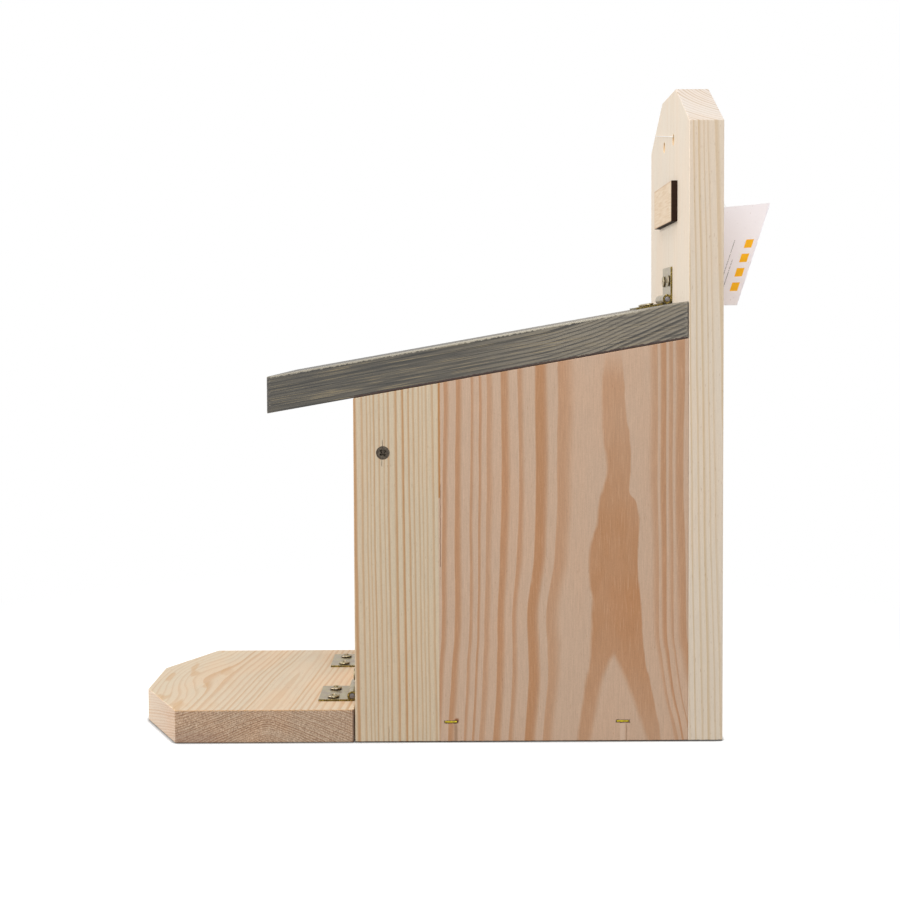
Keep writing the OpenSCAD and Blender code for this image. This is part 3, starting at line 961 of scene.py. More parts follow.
def finished(bm: bmesh.types.BMesh, name: str, crease: float = 20.0) -> bpy.types.Object:
    """Makes a scene object of a bmesh, shaded smooth up to a crease angle.

    Args:
        bm: The mesh, which is freed. It is in metres, unless it only serves a cut.
        name: The object's name.
        crease: The angle above which an edge stays sharp, in degrees.

    Returns:
        The object.
    """
    tiny = 0.002 * MM
    bmesh.ops.remove_doubles(bm, verts=bm.verts, dist=tiny)
    bmesh.ops.dissolve_degenerate(bm, dist=tiny, edges=bm.edges)
    mesh = bpy.data.meshes.new(name)
    bm.to_mesh(mesh)
    bm.free()
    mesh.shade_smooth()
    mesh.set_sharp_from_angle(angle=math.radians(crease))
    piece = bpy.data.objects.new(name, mesh)
    bpy.context.scene.collection.objects.link(piece)
    return piece


def settle(
    piece: bpy.types.Object, material: bpy.types.Material, body: Body, slot: str, *nodes: str
) -> bpy.types.Object:
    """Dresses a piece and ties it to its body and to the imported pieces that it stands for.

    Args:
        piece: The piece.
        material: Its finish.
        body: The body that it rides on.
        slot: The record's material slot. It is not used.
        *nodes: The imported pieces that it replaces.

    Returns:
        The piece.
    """
    piece.data.materials.clear()
    piece.data.materials.append(material)
    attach(piece, body.value)
    if nodes:
        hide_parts(*nodes)
    log.info("%s rides on %s and replaces %s", piece.name, body.value, ", ".join(nodes) or "nothing")
    return piece


def spun(bm: bmesh.types.BMesh, geometry: Sequence[object], steps: int) -> None:
    """Turns an outline once round Z and closes what it makes.

    Args:
        bm: The mesh that holds the outline.
        geometry: The outline's vertices and edges.
        steps: Steps of the turn.
    """
    bmesh.ops.spin(
        bm, geom=geometry, cent=(0, 0, 0), axis=(0, 0, 1), dvec=(0, 0, 0),
        angle=2 * math.pi, steps=steps, use_merge=True, use_duplicate=False,
    )
    bmesh.ops.remove_doubles(bm, verts=bm.verts, dist=1e-5)


def joined_in(
    bm: bmesh.types.BMesh, part: bmesh.types.BMesh, copies: int = 1
) -> list[list[bmesh.types.BMVert]]:
    """Adds copies of one mesh to another.

    Args:
        bm: The mesh that grows.
        part: The mesh to add, which is freed.
        copies: How often it is added.

    Returns:
        Each copy's vertices.
    """
    mesh = bpy.data.meshes.new("part")
    part.to_mesh(mesh)
    part.free()
    added = []
    for _ in range(copies):
        before = len(bm.verts)
        bm.from_mesh(mesh)
        bm.verts.ensure_lookup_table()
        added.append(bm.verts[before:])
    bpy.data.meshes.remove(mesh)
    return added


def lathed(profile: Sequence[Pair], steps: int = 48) -> bmesh.types.BMesh:
    """Turns a profile of radius and height round Z.

    Args:
        profile: Points in millimetres, from the axis at the top to the axis at the bottom.
        steps: Steps of the turn.

    Returns:
        The mesh, in millimetres.
    """
    bm = bmesh.new()
    verts = [bm.verts.new((radius, 0, height)) for radius, height in profile]
    edges = [bm.edges.new(pair) for pair in zip(verts, verts[1:])]
    spun(bm, verts + edges, steps)
    bmesh.ops.recalc_face_normals(bm, faces=bm.faces)
    return bm


def cut_away(bm: bmesh.types.BMesh, cutters: Iterable[bmesh.types.BMesh]) -> bmesh.types.BMesh:
    """Cuts closed shapes out of a closed mesh.

    Args:
        bm: The mesh, which is freed.
        cutters: The shapes to take away, which are freed.

    Returns:
        What is left.
    """
    solid = finished(bm, "cut_solid")
    tools = [finished(cutter, "cut_tool") for cutter in cutters]
    for tool in tools:
        cut = solid.modifiers.new("cut", "BOOLEAN")
        cut.operation, cut.solver, cut.object = "DIFFERENCE", "EXACT", tool
    bpy.context.view_layer.update()
    evaluated = solid.evaluated_get(bpy.context.evaluated_depsgraph_get())
    result = bmesh.new()
    result.from_mesh(evaluated.to_mesh())
    evaluated.to_mesh_clear()
    for extra in [solid, *tools]:
        mesh = extra.data
        bpy.data.objects.remove(extra)
        bpy.data.meshes.remove(mesh)
    return result


def block(size: Triple, centre: Triple, taper: float) -> bmesh.types.BMesh:
    """Makes a block whose lower face is smaller.

    Args:
        size: Its size in millimetres.
        centre: Its middle.
        taper: The lower face's size over the upper face's.

    Returns:
        The mesh, in millimetres.
    """
    bm = bmesh.new()
    bmesh.ops.create_cube(bm, size=1.0)
    for vert in bm.verts:
        if vert.co.z < 0:
            vert.co.x *= taper
            vert.co.y *= taper
    bmesh.ops.scale(bm, vec=size, verts=bm.verts)
    bmesh.ops.translate(bm, vec=centre, verts=bm.verts)
    return bm


@dataclass
class Screws:
    """A group of alike screws, each with its own turn of the cross recess."""

    node: str
    body: Body
    slot: str
    places: list[Matrix]
    shank: float
    length: float
    head: float
    rise: float
    dome: float
    turns: tuple[float, ...]

    def shape(self) -> bmesh.types.BMesh:
        """Makes one screw pointing down, its head's top at the given rise over z = 0.

        Returns:
            The mesh, in millimetres.
        """
        top = self.rise
        edge = top - self.dome
        cone = top - 0.4
        radius = self.head / 2
        profile = [(0.0, top)]
        profile += [
            (radius * share, edge + self.dome * math.sqrt(1 - (share * 0.98) ** 2))
            for share in (0.2, 0.4, 0.58, 0.74, 0.88, 0.96)
        ]
        profile += [
            (radius, edge + 0.02), (radius, min(cone, edge)),
            (self.shank / 2, cone - radius + self.shank / 2),
            (self.shank / 2, top - self.length + self.length * 0.16), (0.0, top - self.length),
        ]
        span, blade, core = self.head * 0.76, self.head * 0.23, self.head * 0.36
        arms = ((span, blade, 2.8), (blade, span, 2.8), (core, core, 2.6))
        return cut_away(lathed(profile), [block(arm, (0, 0, top), 0.45) for arm in arms])

    def build(self, material: bpy.types.Material) -> bpy.types.Object:
        """Builds the group.

        Args:
            material: The screws' finish.

        Returns:
            The piece.
        """
        group = bmesh.new()
        copies = joined_in(group, self.shape(), len(self.places))
        for verts, place, turn in zip(copies, self.places, self.turns):
            matrix = Matrix.Scale(MM, 4) @ place @ Matrix.Rotation(math.radians(turn), 4, "Z")
            bmesh.ops.transform(group, matrix=matrix, verts=verts)
        bmesh.ops.recalc_face_normals(group, faces=group.faces)
        return settle(finished(group, f"{self.node}_heads"), material, self.body, self.slot, self.node)


# The feeder's own pieces


@dataclass
class Hinges:
    """The three butt hinges with their pins and screws."""

    zinc: bpy.types.Material
    steel: bpy.types.Material
    lid_pin: Triple = (0.0, 134.12, 231.843)
    platform_pin: Triple = (34.6, -39.88, 20.03)
    screw_reach: float = 10.4
    screw_spacing: float = 15.5
    screw_turns: tuple[Pair, Pair] = ((12.0, 58.0), (35.0, 80.0))
    pin_height: float = 2.73
    leaf_t: float = 1.1

    def build(self) -> None:
        """Builds all leaves, pins and screws."""
        mirror = Matrix.Scale(-1, 4, (0, 0, 1))
        upright = Matrix.Rotation(math.radians(-90), 4, "X") @ mirror
        tilt = Matrix.Rotation(math.radians(LID_SLOPE), 4, "X")
        flat = Matrix.Identity(4)
        leaves = (("back", upright, Body.BOX), ("lid", tilt, Body.LID))
        self.hinge("lid", self.lid_pin, Body.BOX, leaves)
        x, y, z = self.platform_pin
        leaves = (("rail", upright, Body.BOX), ("platform", flat, Body.PLATFORM))
        for side, pin_x in (("right", x), ("left", -x)):
            self.hinge(side, (pin_x, y, z), Body.PLATFORM, leaves)

    def hinge(
        self, side: str, pin: Triple, pin_body: Body, leaves: Sequence[tuple[str, Matrix, Body]]
    ) -> None:
        """Builds one hinge.

        Args:
            side: The first word of its pieces' names.
            pin: The middle of its pin.
            pin_body: The body that the pin rides on.
            leaves: Each leaf's name, turn and body, the fixed leaf first.
        """
        for (leaf, turn, body), turns in zip(leaves, self.screw_turns):
            node = f"{side}_hinge_{leaf}_leaf"
            normal = (turn.to_3x3() @ Vector((0, 0, 1))).normalized()
            piece = eased_copy(node, f"{node}_plate", 0.14, raw=self.sheared(normal, Vector(pin)))
            settle(piece, self.zinc, body, "yellow_zinc", node)
            Screws(
                f"{side}_hinge_{leaf}_screws", body, "yellow_zinc",
                self.screw_places(Matrix.Translation(pin) @ turn),
                shank=3.0, length=15.0, head=6.6, rise=1.3, dome=0.75, turns=turns,
            ).build(self.zinc)
        node = f"{side}_hinge_pin"
        settle(eased_copy(node, f"{node}_rod", 0.3, segments=3), self.steel, pin_body, "pin_steel", node)

    def screw_places(self, leaf: Matrix) -> list[Matrix]:
        """Gives the places of a leaf's two screws, with the leaf's mirroring taken out.

        Args:
            leaf: The leaf's place and turn.

        Returns:
            Where each screw stands.
        """
        mended = Matrix.Identity(4)
        if leaf.to_3x3().determinant() < 0:
            mended = Matrix.Scale(-1, 4, (1, 0, 0))
        return [
            leaf @ Matrix.Translation((aside, -self.screw_reach, self.leaf_t - self.pin_height)) @ mended
            for aside in (-self.screw_spacing / 2, self.screw_spacing / 2)
        ]

    @staticmethod
    def sheared(normal: Vector, pin: Vector) -> Callable[[bmesh.types.BMFace], bool]:
        """Makes a test for the sheared edges of a leaf.

        Args:
            normal: The direction that the leaf's plate faces.
            pin: The middle of the hinge's pin, in millimetres.

        Returns:
            The test, which is true for the plate's thin edges and the rolls' ends.
        """

        def test(face: bmesh.types.BMFace) -> bool:
            """Tells whether a face was sheared."""
            if abs(face.normal.x) > 0.9:
                return True
            away = face.calc_center_median() / MM - pin
            away.x = 0
            return away.length > 4.0 and abs(face.normal.dot(normal)) < 0.3

        return test


@dataclass
class Boards:
    """All wooden pieces, each cut from a piece of pine of its own."""

    joint: float = 44.0 + FRONT_Y
    ease: float = 0.35

    def staves(self) -> dict[str, Pine]:
        """Describes the wood of the side panels' staves.

        Returns:
            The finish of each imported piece.
        """
        pink = dict(
            grain=(0.0, 0.0, 1.0),
            early=srgb(196, 167, 143), late=srgb(178, 130, 91), end_tint=(0.78, 0.68, 0.60),
        )
        return {
            "right_side_rear_stave": FlamedPine(
                "pine_right_rear", pith=(31.5, 138.2 + FRONT_Y, 0.0), depth=(1.0, 0.0, 0.0),
                late_from=0.67, late_vary=0.0, late_soft=0.16, wave=1.5, deep_wave=0.12, jitter=0.34,
                fibre=0.2, mottle=0.04, seed=1.0, streak=0.3,
                swells=(Swell((SIDE_FACE_X, 98.0 + FRONT_Y, 66.0), 34.0, -1.6),),
                cracks=(
                    Crack(52.6, -2.0, 10.6, 0.75, (158, 126, 100)),
                    Crack(141.6, -2.0, 10.5, 0.2, (150, 116, 92)),
                    Crack(44.45, 128.0, 200.0, 0.5, (176, 122, 66)),
                    Crack(44.9, 92.0, 136.0, 0.16, (120, 84, 62)),
                ),
                **pink,
            ),
            "right_side_front_stave": Pine(
                "pine_right_front", pith=(66.0, -60.7 + FRONT_Y, 0.0), depth=(0.0, 1.0, 0.0),
                grain=(0.0, -0.009, 1.0),
                rings=(
                    (58.0, -0.4), (61.0, 0.3), (62.6, 0.72), (64.0, 0.96), (66.6, 1.72), (69.3, 2.72),
                    (71.1, 3.72), (73.0, 4.72), (75.7, 5.72), (78.2, 6.72), (80.3, 7.72), (84.2, 8.72),
                    (87.9, 9.72), (91.0, 10.72), (93.4, 11.72), (96.1, 12.72), (98.0, 13.72), (100.0, 14.72),
                    (103.2, 15.72), (106.4, 16.72), (112.0, 18.7),
                ),
                strengths=(
                    (-0.5, 0.9), (0.5, 0.9), (1.5, 0.6), (2.5, 0.55), (3.5, 0.5), (4.5, 0.72), (5.5, 0.55),
                    (6.5, 0.5), (7.5, 0.7), (8.5, 0.85), (9.5, 1.0), (10.5, 0.75), (11.5, 0.6),
                    (12.5, 0.55), (13.5, 0.46), (14.5, 0.48), (15.5, 0.56), (16.5, 0.62), (18.5, 0.55),
                ),
                late_from=0.56, late_soft=0.2, late_end=0.8, late_vary=0.0,
                wave=1.3, wave_size=30.0, wave_length=70.0, jitter=0.35, mottle=0.03, fibre=0.16, seed=2.0,
                early=srgb(204, 187, 161), late=srgb(182, 140, 98),
                cracks=(
                    Crack(15.1, 154.4, 159.4, 0.17), Crack(14.8, 144.6, 149.4, 0.14),
                    Crack(17.6, -2.0, 9.0, 0.16, (140, 112, 84)),
                ),
            ),
            "left_side_rear_stave": StapledPine(
                "pine_left_rear", pith=(-26.0, 96.0 + FRONT_Y, 0.0), depth=(-1.0, 0.0, 0.0),
                ring=4.4, ring_drift=1.0, late_from=0.60, wave=2.0, jitter=0.35, seed=3.0,
                cracks=(Crack(50.4, -2.0, 9.0, 0.2),), **pink,
            ),
            "left_side_front_stave": Pine(
                "pine_left_front", pith=(-58.0, 118.0 + FRONT_Y, 0.0), depth=(0.0, -1.0, 0.0),
                grain=(0.0, 0.015, 1.0), ring=2.7, ring_drift=1.2, late_from=0.66, late_soft=0.2,
                wave=1.4, seed=4.0, early=srgb(209, 191, 166), late=srgb(181, 148, 110),
                cracks=(Crack(15.0, 156.0, 162.0, 0.14),),
            ),
        }

    def planks(self) -> dict[str, Pine]:
        """Describes the wood of the other boards, apart from the lid.

        Returns:
            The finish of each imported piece.
        """
        board = dict(early=srgb(227, 214, 197), late=srgb(208, 183, 145), end_tint=(1.0, 1.03, 1.12))
        return {
            "backboard": BoredPine(
                "pine_back", pith=(4.0, 216.0 + FRONT_Y, 0.0), depth=(0.0, -1.0, 0.0),
                grain=(0.02, 0.012, 1.0),
                rings=(
                    (0.0, -10.0), (20.0, 0.0), (30.0, 5.0), (39.7, 10.0), (56.6, 17.0), (61.7, 19.0),
                    (63.7, 20.0), (64.9, 21.0), (66.6, 22.0), (68.2, 23.0), (70.1, 24.0), (71.7, 25.0),
                    (90.0, 36.0),
                ),
                strengths=(
                    (-10.0, 0.7), (18.0, 0.6), (19.5, 0.5), (20.5, 0.55), (21.5, 0.7), (22.5, 0.6),
                    (23.5, 1.0), (24.5, 0.5), (36.0, 0.6),
                ),
                late_from=0.66, late_soft=0.2, late_end=0.86, wave=0.9, deep_wave=0.4, mottle=0.04,
                flat_fade=0.22, end_pores=0.0, seed=5.0, **board,
            ),
            "platform_board": TornPine(
                "pine_platform", pith=(SIDE_FACE_X, -46.0 + FRONT_Y, -45.0), depth=(0.0, 0.0, 1.0),
                grain=(-1.0, 0.115, -0.008), ring=1.08, ring_drift=1.3, late_from=0.66, late_soft=0.2,
                spread=(
                    (-110.0, -65.0), (-70.0, -52.5), (-48.0, -43.5), (-30.0, -34.5), (-15.0, -23.5),
                    (-6.0, -13.0), (0.0, 0.0), (6.0, 13.0), (15.0, 23.5), (30.0, 34.5), (45.0, 43.0),
                    (60.0, 50.5),
                ),
                wave=1.6, wave_size=36.0, wave_length=80.0, jitter=0.3, seed=6.0, end_pores=0.55,
                end_late=0.42, flat_fade=0.9, flat_band=0.5, foot=0.4,
                swells=(Swell((-8.0, -99.0 + FRONT_Y, 17.0), 26.0, -2.9),),
                early=srgb(219, 202, 178), late=srgb(203, 168, 130), end_tint=(0.77, 0.69, 0.65),
            ),
            "floor_board": Pine(
                "pine_floor", pith=(8.0, 60.0, -30.0), depth=(0.0, 0.0, 1.0), grain=(0.0, 1.0, 0.01),
                ring=2.8, seed=7.0, early=srgb(209, 191, 166), late=srgb(181, 148, 110),
            ),
            "front_rail": Pine(
                "pine_rail", pith=(0.0, 20.0, 12.0), depth=(0.0, -1.0, 0.0), grain=(1.0, 0.01, 0.02),
                seed=8.0, **board,
            ),
            "cross_batten": Pine(
                "pine_batten", pith=(0.0, 30.0, 170.0), depth=(0.0, -1.0, 0.0), grain=(1.0, 0.02, 0.0),
                ring=2.4, seed=9.0, **board,
            ),
        }

    def build(self) -> None:
        """Builds every plain board."""
        slots = {
            "right_side_rear_stave": "pine_pink", "left_side_rear_stave": "pine_pink",
            "right_side_front_stave": "pine_pale", "left_side_front_stave": "pine_pale",
        }
        for node, pine in (self.staves() | self.planks()).items():
            body = Body.PLATFORM if node == "platform_board" else Body.BOX
            piece = eased_copy(node, f"{node}_wood", self.ease, 3.0, self.glued)
            settle(piece, pine.material(), body, slots.get(node, "pine_board"), node)

    def glued(self, middle: Vector) -> bool:
        """Tells whether an edge lies in the staves' glue joint."""
        return abs(middle.y - self.joint) < 0.05


@dataclass
class Lid:
    """The stained lid board."""

    node: str = "lid_board"
    ease: float = 0.45

    def build(self) -> None:
        """Builds the lid."""
        rise = math.tan(math.radians(LID_SLOPE))
        pine = StainedPine(
            "pine_lid", pith=(40.0, -40.0, 120.0), depth=(0.1, 0.0, 1.0), grain=(0.0, 1.0, rise + 0.02),
            lift=((-40.0, 0.0), (105.0, 0.0), (132.0, -1.6), (160.0, -6.5), (192.0, -13.5), (200.0, -15.0)),
            early=srgb(142, 133, 118), late=srgb(72, 69, 65), end_tint=(0.8, 0.8, 0.8),
            ring=1.95, ring_drift=0.7, late_from=0.55, late_soft=0.18, wave=0.8, fibre=0.3,
            mottle=0.06, mottle_tint=(0.9, 0.92, 0.94), seed=11.0, roughness=0.5, gloss=0.4,
        )
        piece = eased_copy(self.node, "lid_board_wood", self.ease, 3.0)
        settle(piece, pine.material(), Body.LID, "pine_stained", self.node)


@dataclass
class Plaque:
    """The small plaque with its burnt edges, left bare."""

    node: str = "blank_plaque"
    half_width: float = 28.5
    half_height: float = 11.0
    middle_z: float = 284.7

    def build(self) -> None:
        """Builds the plaque."""
        g = Graph("plaque_wood")
        place = g.place()
        x, _, z = g.parts(place)
        rows = g.noise((x / 14.0, 0.0, z / 0.9), 1.0, 3.0)
        face = g.mix(rows.ease(0.35, 0.7), srgb(230, 210, 186), srgb(218, 193, 163))
        inwards = g.math("MINIMUM", self.half_width - abs(x), self.half_height - abs(z - self.middle_z))
        face = g.mix(inwards.ease(0.0, 1.1, 0.4, 0.0), face, srgb(176, 128, 84))
        soot = g.noise(place, 0.7, 3.0)
        burnt = g.mix(soot, srgb(26, 12, 5), srgb(50, 29, 17))
        front = (g.dot(g.facing(), (0, 1, 0)) * -1.0).ease(0.5, 0.9)
        material = g.finish(
            Base_Color=g.mix(front, burnt, face), Roughness=0.7, Specular_IOR_Level=0.15,
            Normal=g.bump(soot, 0.01),
        )
        piece = eased_copy(self.node, "blank_plaque_wood", 0.2, 1.0)
        settle(piece, material, Body.BOX, "plaque_wood", self.node)


@dataclass
class Pane:
    """The clear front pane."""

    node: str = "window_pane"

    def build(self) -> None:
        """Builds the pane."""
        g = Graph("clear_pane")
        smears = g.noise(g.place(), 0.06, 3.0)
        material = g.finish(
            Base_Color=srgb(236, 243, 242), Roughness=smears.ease(0.3, 0.7, 0.03, 0.09),
            Alpha=0.11, IOR=1.49,
        )
        piece = eased_copy(self.node, "window_pane_sheet", 0.2, 1.0)
        settle(piece, material, Body.BOX, "clear_pane", self.node)


@dataclass
class Fasteners:
    """The dark countersunk screws and the side panels' staples."""

    bronze: bpy.types.Material
    gold: bpy.types.Material
    inner_w: float = 91.0
    side_t: float = 17.0
    back_y: float = 154.85
    batten_y: float = 15.3 + FRONT_Y
    batten_z: float = 151.6
    floor_z: float = 9.0
    side_screw_heights: Pair = (32.0, 178.37)

    def facing(self, place: Triple, direction: Triple) -> Matrix:
        """Turns a screw's head to a direction at a place."""
        turn = Vector((0, 0, 1)).rotation_difference(Vector(direction)).to_matrix().to_4x4()
        return Matrix.Translation(place) @ turn

    def dark(self, name: str, places: list[Matrix], length: float) -> None:
        """Builds one group of dark screws."""
        Screws(
            name, Body.BOX, "bronzed_steel", places, shank=3.6, length=length,
            head=7.0, rise=-0.2, dome=0.12, turns=(40.0, 12.0, 66.0, 25.0, 81.0, 50.0),
        ).build(self.bronze)

    def build(self) -> None:
        """Builds all dark screws and the staples."""
        batten = [
            self.facing((side * SIDE_FACE_X, self.batten_y, self.batten_z), (side, 0, 0)) for side in (1, -1)
        ]
        self.dark("batten_screws", batten, 38.0)
        rail_x = self.inner_w * 0.3
        rail = [self.facing((side * rail_x, FRONT_Y, self.floor_z), (0, -1, 0)) for side in (-1, 1)]
        self.dark("rail_screws", rail, 38.0)
        side_x = SIDE_FACE_X - self.side_t / 2
        spots = [(side_x, z) for z in self.side_screw_heights] + [(self.inner_w / 4, self.floor_z)]
        back = [self.facing((side * x, self.back_y, z), (0, 1, 0)) for side in (1, -1) for x, z in spots]
        self.dark("back_screws", back, 42.0)
        piece = eased_copy("floor_staples", "floor_staples_wire", 0.18)
        settle(piece, self.gold, Body.BOX, "coated_steel", "floor_staples")


@dataclass
class SwingTag:
    """The swing tag, with its string through a hanging hole."""

    foot: Triple = (-44.2, 155.9, 229.5)
    turn: Triple = (-26.0, 0.5, 38.5)
    string: float = 0.4
    knot_place: Triple = (-54.3, 176.35, 292.4)
    square: float = 5.6
    square_x: float = 28.4
    square_feet: tuple[float, ...] = (9.0, 18.5, 28.0, 37.5)
    rules: tuple[tuple[Pair, Pair], ...] = (((19.6, 9.0), (20.1, 43.1)), ((22.6, 9.0), (23.1, 30.0)))
    route: tuple[Triple, ...] = (
        (-54.0, 175.8, 292.6), (-52.6, 171.0, 301.7), (-51.0, 166.0, 311.2), (-49.4, 161.0, 320.7),
        (-48.0, 156.8, 329.0), (-47.8, 155.8, 330.8), (-47.7, 155.3, 331.5), (-47.7, 154.6, 331.9),
        (-47.7, 150.0, 331.8), (-47.7, 142.0, 331.8), (-47.7, 137.2, 331.9), (-47.6, 136.5, 331.6),
        (-47.2, 136.4, 331.1), (-45.5, 136.4, 330.8), (-31.2, 136.4, 328.5), (-17.0, 136.4, 326.3),
        (-2.7, 136.4, 324.0), (11.6, 136.4, 321.7), (12.5, 136.35, 321.5), (13.0, 136.45, 321.48),
        (13.07, 136.9, 321.48), (13.07, 143.0, 321.48), (13.07, 149.0, 321.48), (13.07, 154.9, 321.48),
        (12.9, 155.3, 321.35), (12.4, 155.6, 321.0), (11.0, 156.1, 320.4), (-5.1, 161.1, 313.5),
        (-21.2, 166.0, 306.6), (-37.3, 171.0, 299.8), (-53.0, 176.6, 292.2), (-56.0, 178.1, 289.4),
        (-58.3, 179.1, 287.0), (-59.2, 180.2, 286.2), (-60.1, 181.1, 286.9), (-60.5, 181.9, 289.0),
        (-60.7, 181.9, 290.6), (-60.0, 181.0, 291.4), (-57.5, 178.6, 292.4), (-55.0, 176.8, 292.9),
    )

    def printed(self) -> bpy.types.Material:
        """Builds the card's finish: pale stock with a row of plain yellow squares and two grey rules.

        Returns:
            The material.
        """
        g = Graph("tag_card")
        place = g.place()
        from_foot = g.off(place, self.foot)
        turn = Euler([math.radians(a) for a in self.turn], "XYZ").to_matrix()
        x, z = g.dot(from_foot, turn.col[0]), g.dot(from_foot, turn.col[2])
        pulp = g.noise(place, 1.1, 3.0, 0.7)
        specks = g.noise(place, 0.75, 1.0).ease(0.745, 0.78, 0.0, 0.45)
        colour = g.mix(pulp, srgb(248, 245, 251), srgb(243, 239, 246))
        colour = g.mix(specks, colour, srgb(170, 150, 150))

        def box(low: Pair, high: Pair, soft: float = 0.06) -> Field:
            """Marks a rectangle of the card, in millimetres from its foot."""
            wide = x.ease(low[0] - soft, low[0] + soft) * x.fall(high[0] - soft, high[0] + soft)
            return wide * z.ease(low[1] - soft, low[1] + soft) * z.fall(high[1] - soft, high[1] + soft)

        for foot in self.square_feet:
            corner = (self.square_x + self.square, foot + self.square)
            colour = g.mix(box((self.square_x, foot), corner), colour, srgb(255, 188, 12))
        broken = g.noise((0.0, 0.0, z * 1.1), 1.0, 1.0).ease(0.4, 0.46)
        for low, high in self.rules:
            colour = g.mix(box(low, high) * broken * 0.8, colour, srgb(96, 92, 92))
        return g.finish(Base_Color=colour, Roughness=0.72, Normal=g.bump(pulp, 0.03))

    def cord(self) -> bpy.types.Object:
        """Builds the string along its route.

        Returns:
            The string.
        """
        data = bpy.data.curves.new("tag_string_thread", "CURVE")
        data.dimensions = "3D"
        data.bevel_depth = self.string / 2 * MM
        data.bevel_resolution = 3
        data.use_fill_caps = True
        line = data.splines.new("POLY")
        line.points.add(len(self.route) - 1)
        for point, place in zip(line.points, self.route):
            point.co = (*(c * MM for c in place), 1.0)
        piece = bpy.data.objects.new("tag_string_thread", data)
        bpy.context.scene.collection.objects.link(piece)
        return piece

    def knot(self, radius: float = 0.62, thread: float = 0.24, sides: int = 8) -> bpy.types.Object:
        """Builds the small knot where the string's strands meet, as three turned loops.

        Args:
            radius: The loops' radius.
            thread: The thread's radius in the knot.
            sides: Sides of the thread's outline.

        Returns:
            The knot.
        """
        bm = bmesh.new()
        for turn, axis in ((0, "X"), (60, "Y"), (110, "Z")):
            ring = bmesh.new()
            angles = [2 * math.pi * step / sides for step in range(sides)]
            verts = [ring.verts.new((radius + thread * math.cos(a), 0, thread * math.sin(a))) for a in angles]
            edges = [ring.edges.new((verts[i], verts[(i + 1) % sides])) for i in range(sides)]
            spun(ring, verts + edges, 20)
            matrix = Matrix.Rotation(math.radians(turn), 3, axis)
            bmesh.ops.rotate(ring, verts=ring.verts, cent=(0, 0, 0), matrix=matrix)
            joined_in(bm, ring)
        bmesh.ops.translate(bm, vec=self.knot_place, verts=bm.verts)
        bmesh.ops.scale(bm, vec=(MM,) * 3, verts=bm.verts)
        bmesh.ops.recalc_face_normals(bm, faces=bm.faces)
        return finished(bm, "tag_string_knot", 60.0)

    def build(self) -> None:
        """Builds the tag, its string and the knot."""
        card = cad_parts["swing_tag"]
        card.data.materials[0] = self.printed()
        g = Graph("string_thread")
        twist = g.noise(g.place(), 4.0)
        white = g.finish(
            Base_Color=g.mix(twist, srgb(252, 251, 249), srgb(240, 238, 235)), Roughness=0.8,
            Normal=g.bump(twist, 0.05),
        )
        string = self.cord()
        settle(string, white, Body.BOX, "string", "tag_string")
        knot = settle(self.knot(), white, Body.BOX, "string")


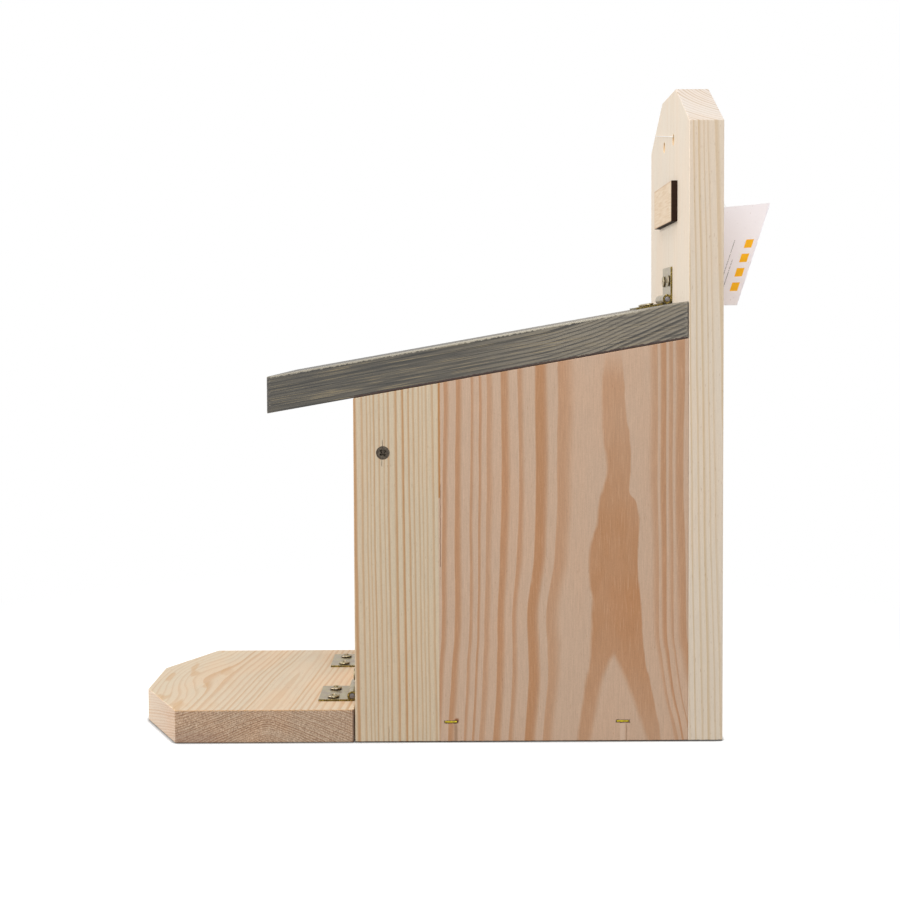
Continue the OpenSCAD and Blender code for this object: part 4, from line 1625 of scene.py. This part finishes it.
@dataclass
class Studio:
    """The camera where the photograph was taken from, soft light and a white floor."""

    focal: float = 1269.53
    centre: Pair = (454.47, 376.47)
    turn: Triple = (-1.995, -0.099, 0.255)
    place: Triple = (719.17, 14.34, 213.98)
    pixels: int = 900
    light: float = 0.35
    floor_half: float = 6.0
    floor_drop: float = 0.0002
    floor_grey: Triple = (0.4, 0.4, 0.4)
    floor_lit: Triple = (0.74, 0.74, 0.74)
    crevice_reach: float = 0.004

    def camera(self) -> None:
        """Places the camera."""
        data = bpy.data.cameras.new("camera")
        data.sensor_width = 36.0
        data.lens = self.focal / self.pixels * data.sensor_width
        data.shift_x = (self.pixels / 2 - self.centre[0]) / self.pixels
        data.shift_y = (self.centre[1] - self.pixels / 2) / self.pixels
        data.clip_start = 0.01
        rows = Euler([math.radians(a) for a in self.turn], "XYZ").to_matrix() @ Matrix(
            ((0, 1, 0), (0, 0, 1), (-1, 0, 0))
        )
        look = Matrix((rows[0], rows[1], -Vector(rows[2]))).transposed().to_4x4()
        piece = bpy.data.objects.new("camera", data)
        piece.matrix_world = Matrix.Translation(Vector(self.place) * MM) @ look
        bpy.context.scene.collection.objects.link(piece)
        bpy.context.scene.camera = piece

    def lamp(self, name: str, place: Triple, size: float, power: float) -> None:
        """Places a square soft lamp that faces the feeder.

        Args:
            name: The lamp's name.
            place: Its place in metres.
            size: Its width in metres.
            power: Its power in watts.
        """
        data = bpy.data.lights.new(name, "AREA")
        data.size, data.energy = size, power
        piece = bpy.data.objects.new(name, data)
        piece.location = place
        piece.rotation_euler = (Vector(place) - Vector((0, 0, 0.15))).to_track_quat("Z", "Y").to_euler()
        bpy.context.scene.collection.objects.link(piece)

    def seen(self, g: Graph) -> Field:
        """Gives 1 where the camera sees a surface straight, in a mirror or through glass.

        Args:
            g: The graph.

        Returns:
            The number, 1 or 0.
        """
        rays = g.put("ShaderNodeLightPath").outputs
        straight, mirrored, through = (
            Field(g, rays[name]) for name in ("Is Camera Ray", "Is Glossy Ray", "Is Transmission Ray")
        )
        return g.math("ADD", g.math("ADD", straight, mirrored, clamp=True), through, clamp=True)

    def world(self) -> None:
        """Lights the scene evenly and shows plain white behind it."""
        world = bpy.data.worlds.new("studio")
        bpy.context.scene.world = world
        g = Graph(world)
        soft = g.socket("ShaderNodeBackground", (1.0, 0.99, 0.975), self.light)
        white = g.socket("ShaderNodeBackground", (1, 1, 1), 1.0)
        g.put("ShaderNodeOutputWorld", g.socket("ShaderNodeMixShader", self.seen(g), soft, white))

    def floor(self) -> None:
        """Lays a white floor that keeps the feeder's shadow."""
        bm = bmesh.new()
        bmesh.ops.create_grid(bm, x_segments=1, y_segments=1, size=self.floor_half)
        bmesh.ops.translate(bm, vec=(0, 0, -self.floor_drop), verts=bm.verts)
        floor = finished(bm, "floor")
        g = Graph("studio_floor")
        plain = g.socket("ShaderNodeBsdfDiffuse", self.floor_grey)
        crevice = g.field("ShaderNodeAmbientOcclusion", None, self.crevice_reach, output="AO", samples=12)
        lit = g.socket("ShaderNodeEmission", self.floor_lit, crevice.ease(0.5, 0.86))
        near = g.socket("ShaderNodeAddShader", lit, plain)
        away = g.length(g.socket("ShaderNodeTexCoord", output="Object"))
        white = g.socket("ShaderNodeEmission", (1, 1, 1))
        shown = g.socket("ShaderNodeMixShader", away.ease(0.15, 0.45), near, white)
        g.put("ShaderNodeOutputMaterial", g.socket("ShaderNodeMixShader", self.seen(g), plain, shown))
        floor.data.materials.append(g.owner)

    def build(self) -> None:
        """Builds the whole studio."""
        self.camera()
        self.world()
        self.floor()
        self.lamp("front_softbox", (0.35, -1.2, 0.5), 1.0, 14.0)
        self.lamp("top_softbox", (1.0, -0.05, 1.2), 0.8, 12.5)
        self.lamp("rear_softbox", (-0.3, 1.3, 0.5), 0.9, 9.0)
        bpy.context.scene.view_settings.view_transform = "Standard"


def main() -> None:
    """Builds the feeder's looks and its studio."""
    logging.basicConfig(level=logging.INFO, format="%(name)s: %(message)s")
    Studio().build()
    SwingTag().build()
    Boards().build()
    Lid().build()
    Plaque().build()
    Pane().build()
    zinc = Plated(
        "yellow_zinc", colour=(0.405, 0.345, 0.205), tint=(0.35, 0.28, 0.20), dark=(0.11, 0.085, 0.025),
        dirt=0.55,
    )
    steel = Plated("pin_steel", colour=(0.29, 0.28, 0.30), tint=(0.19, 0.18, 0.19), dark=(0.1, 0.09, 0.08))
    bronze = Plated(
        "bronzed_steel", colour=(0.135, 0.112, 0.085), tint=(0.075, 0.06, 0.048), dark=(0.025, 0.021, 0.018),
        dirt=0.8, roughness=0.42, cloud=1.6,
    )
    gold = Plated(
        "coated_steel", colour=(0.56, 0.45, 0.03), tint=(0.34, 0.26, 0.04), dark=(0.1, 0.08, 0.02),
        roughness=0.4, cloud=1.2,
    )
    Hinges(zinc.material(), steel.material()).build()
    Fasteners(bronze.material(), gold.material()).build()


if __name__ == "__main__":
    main()
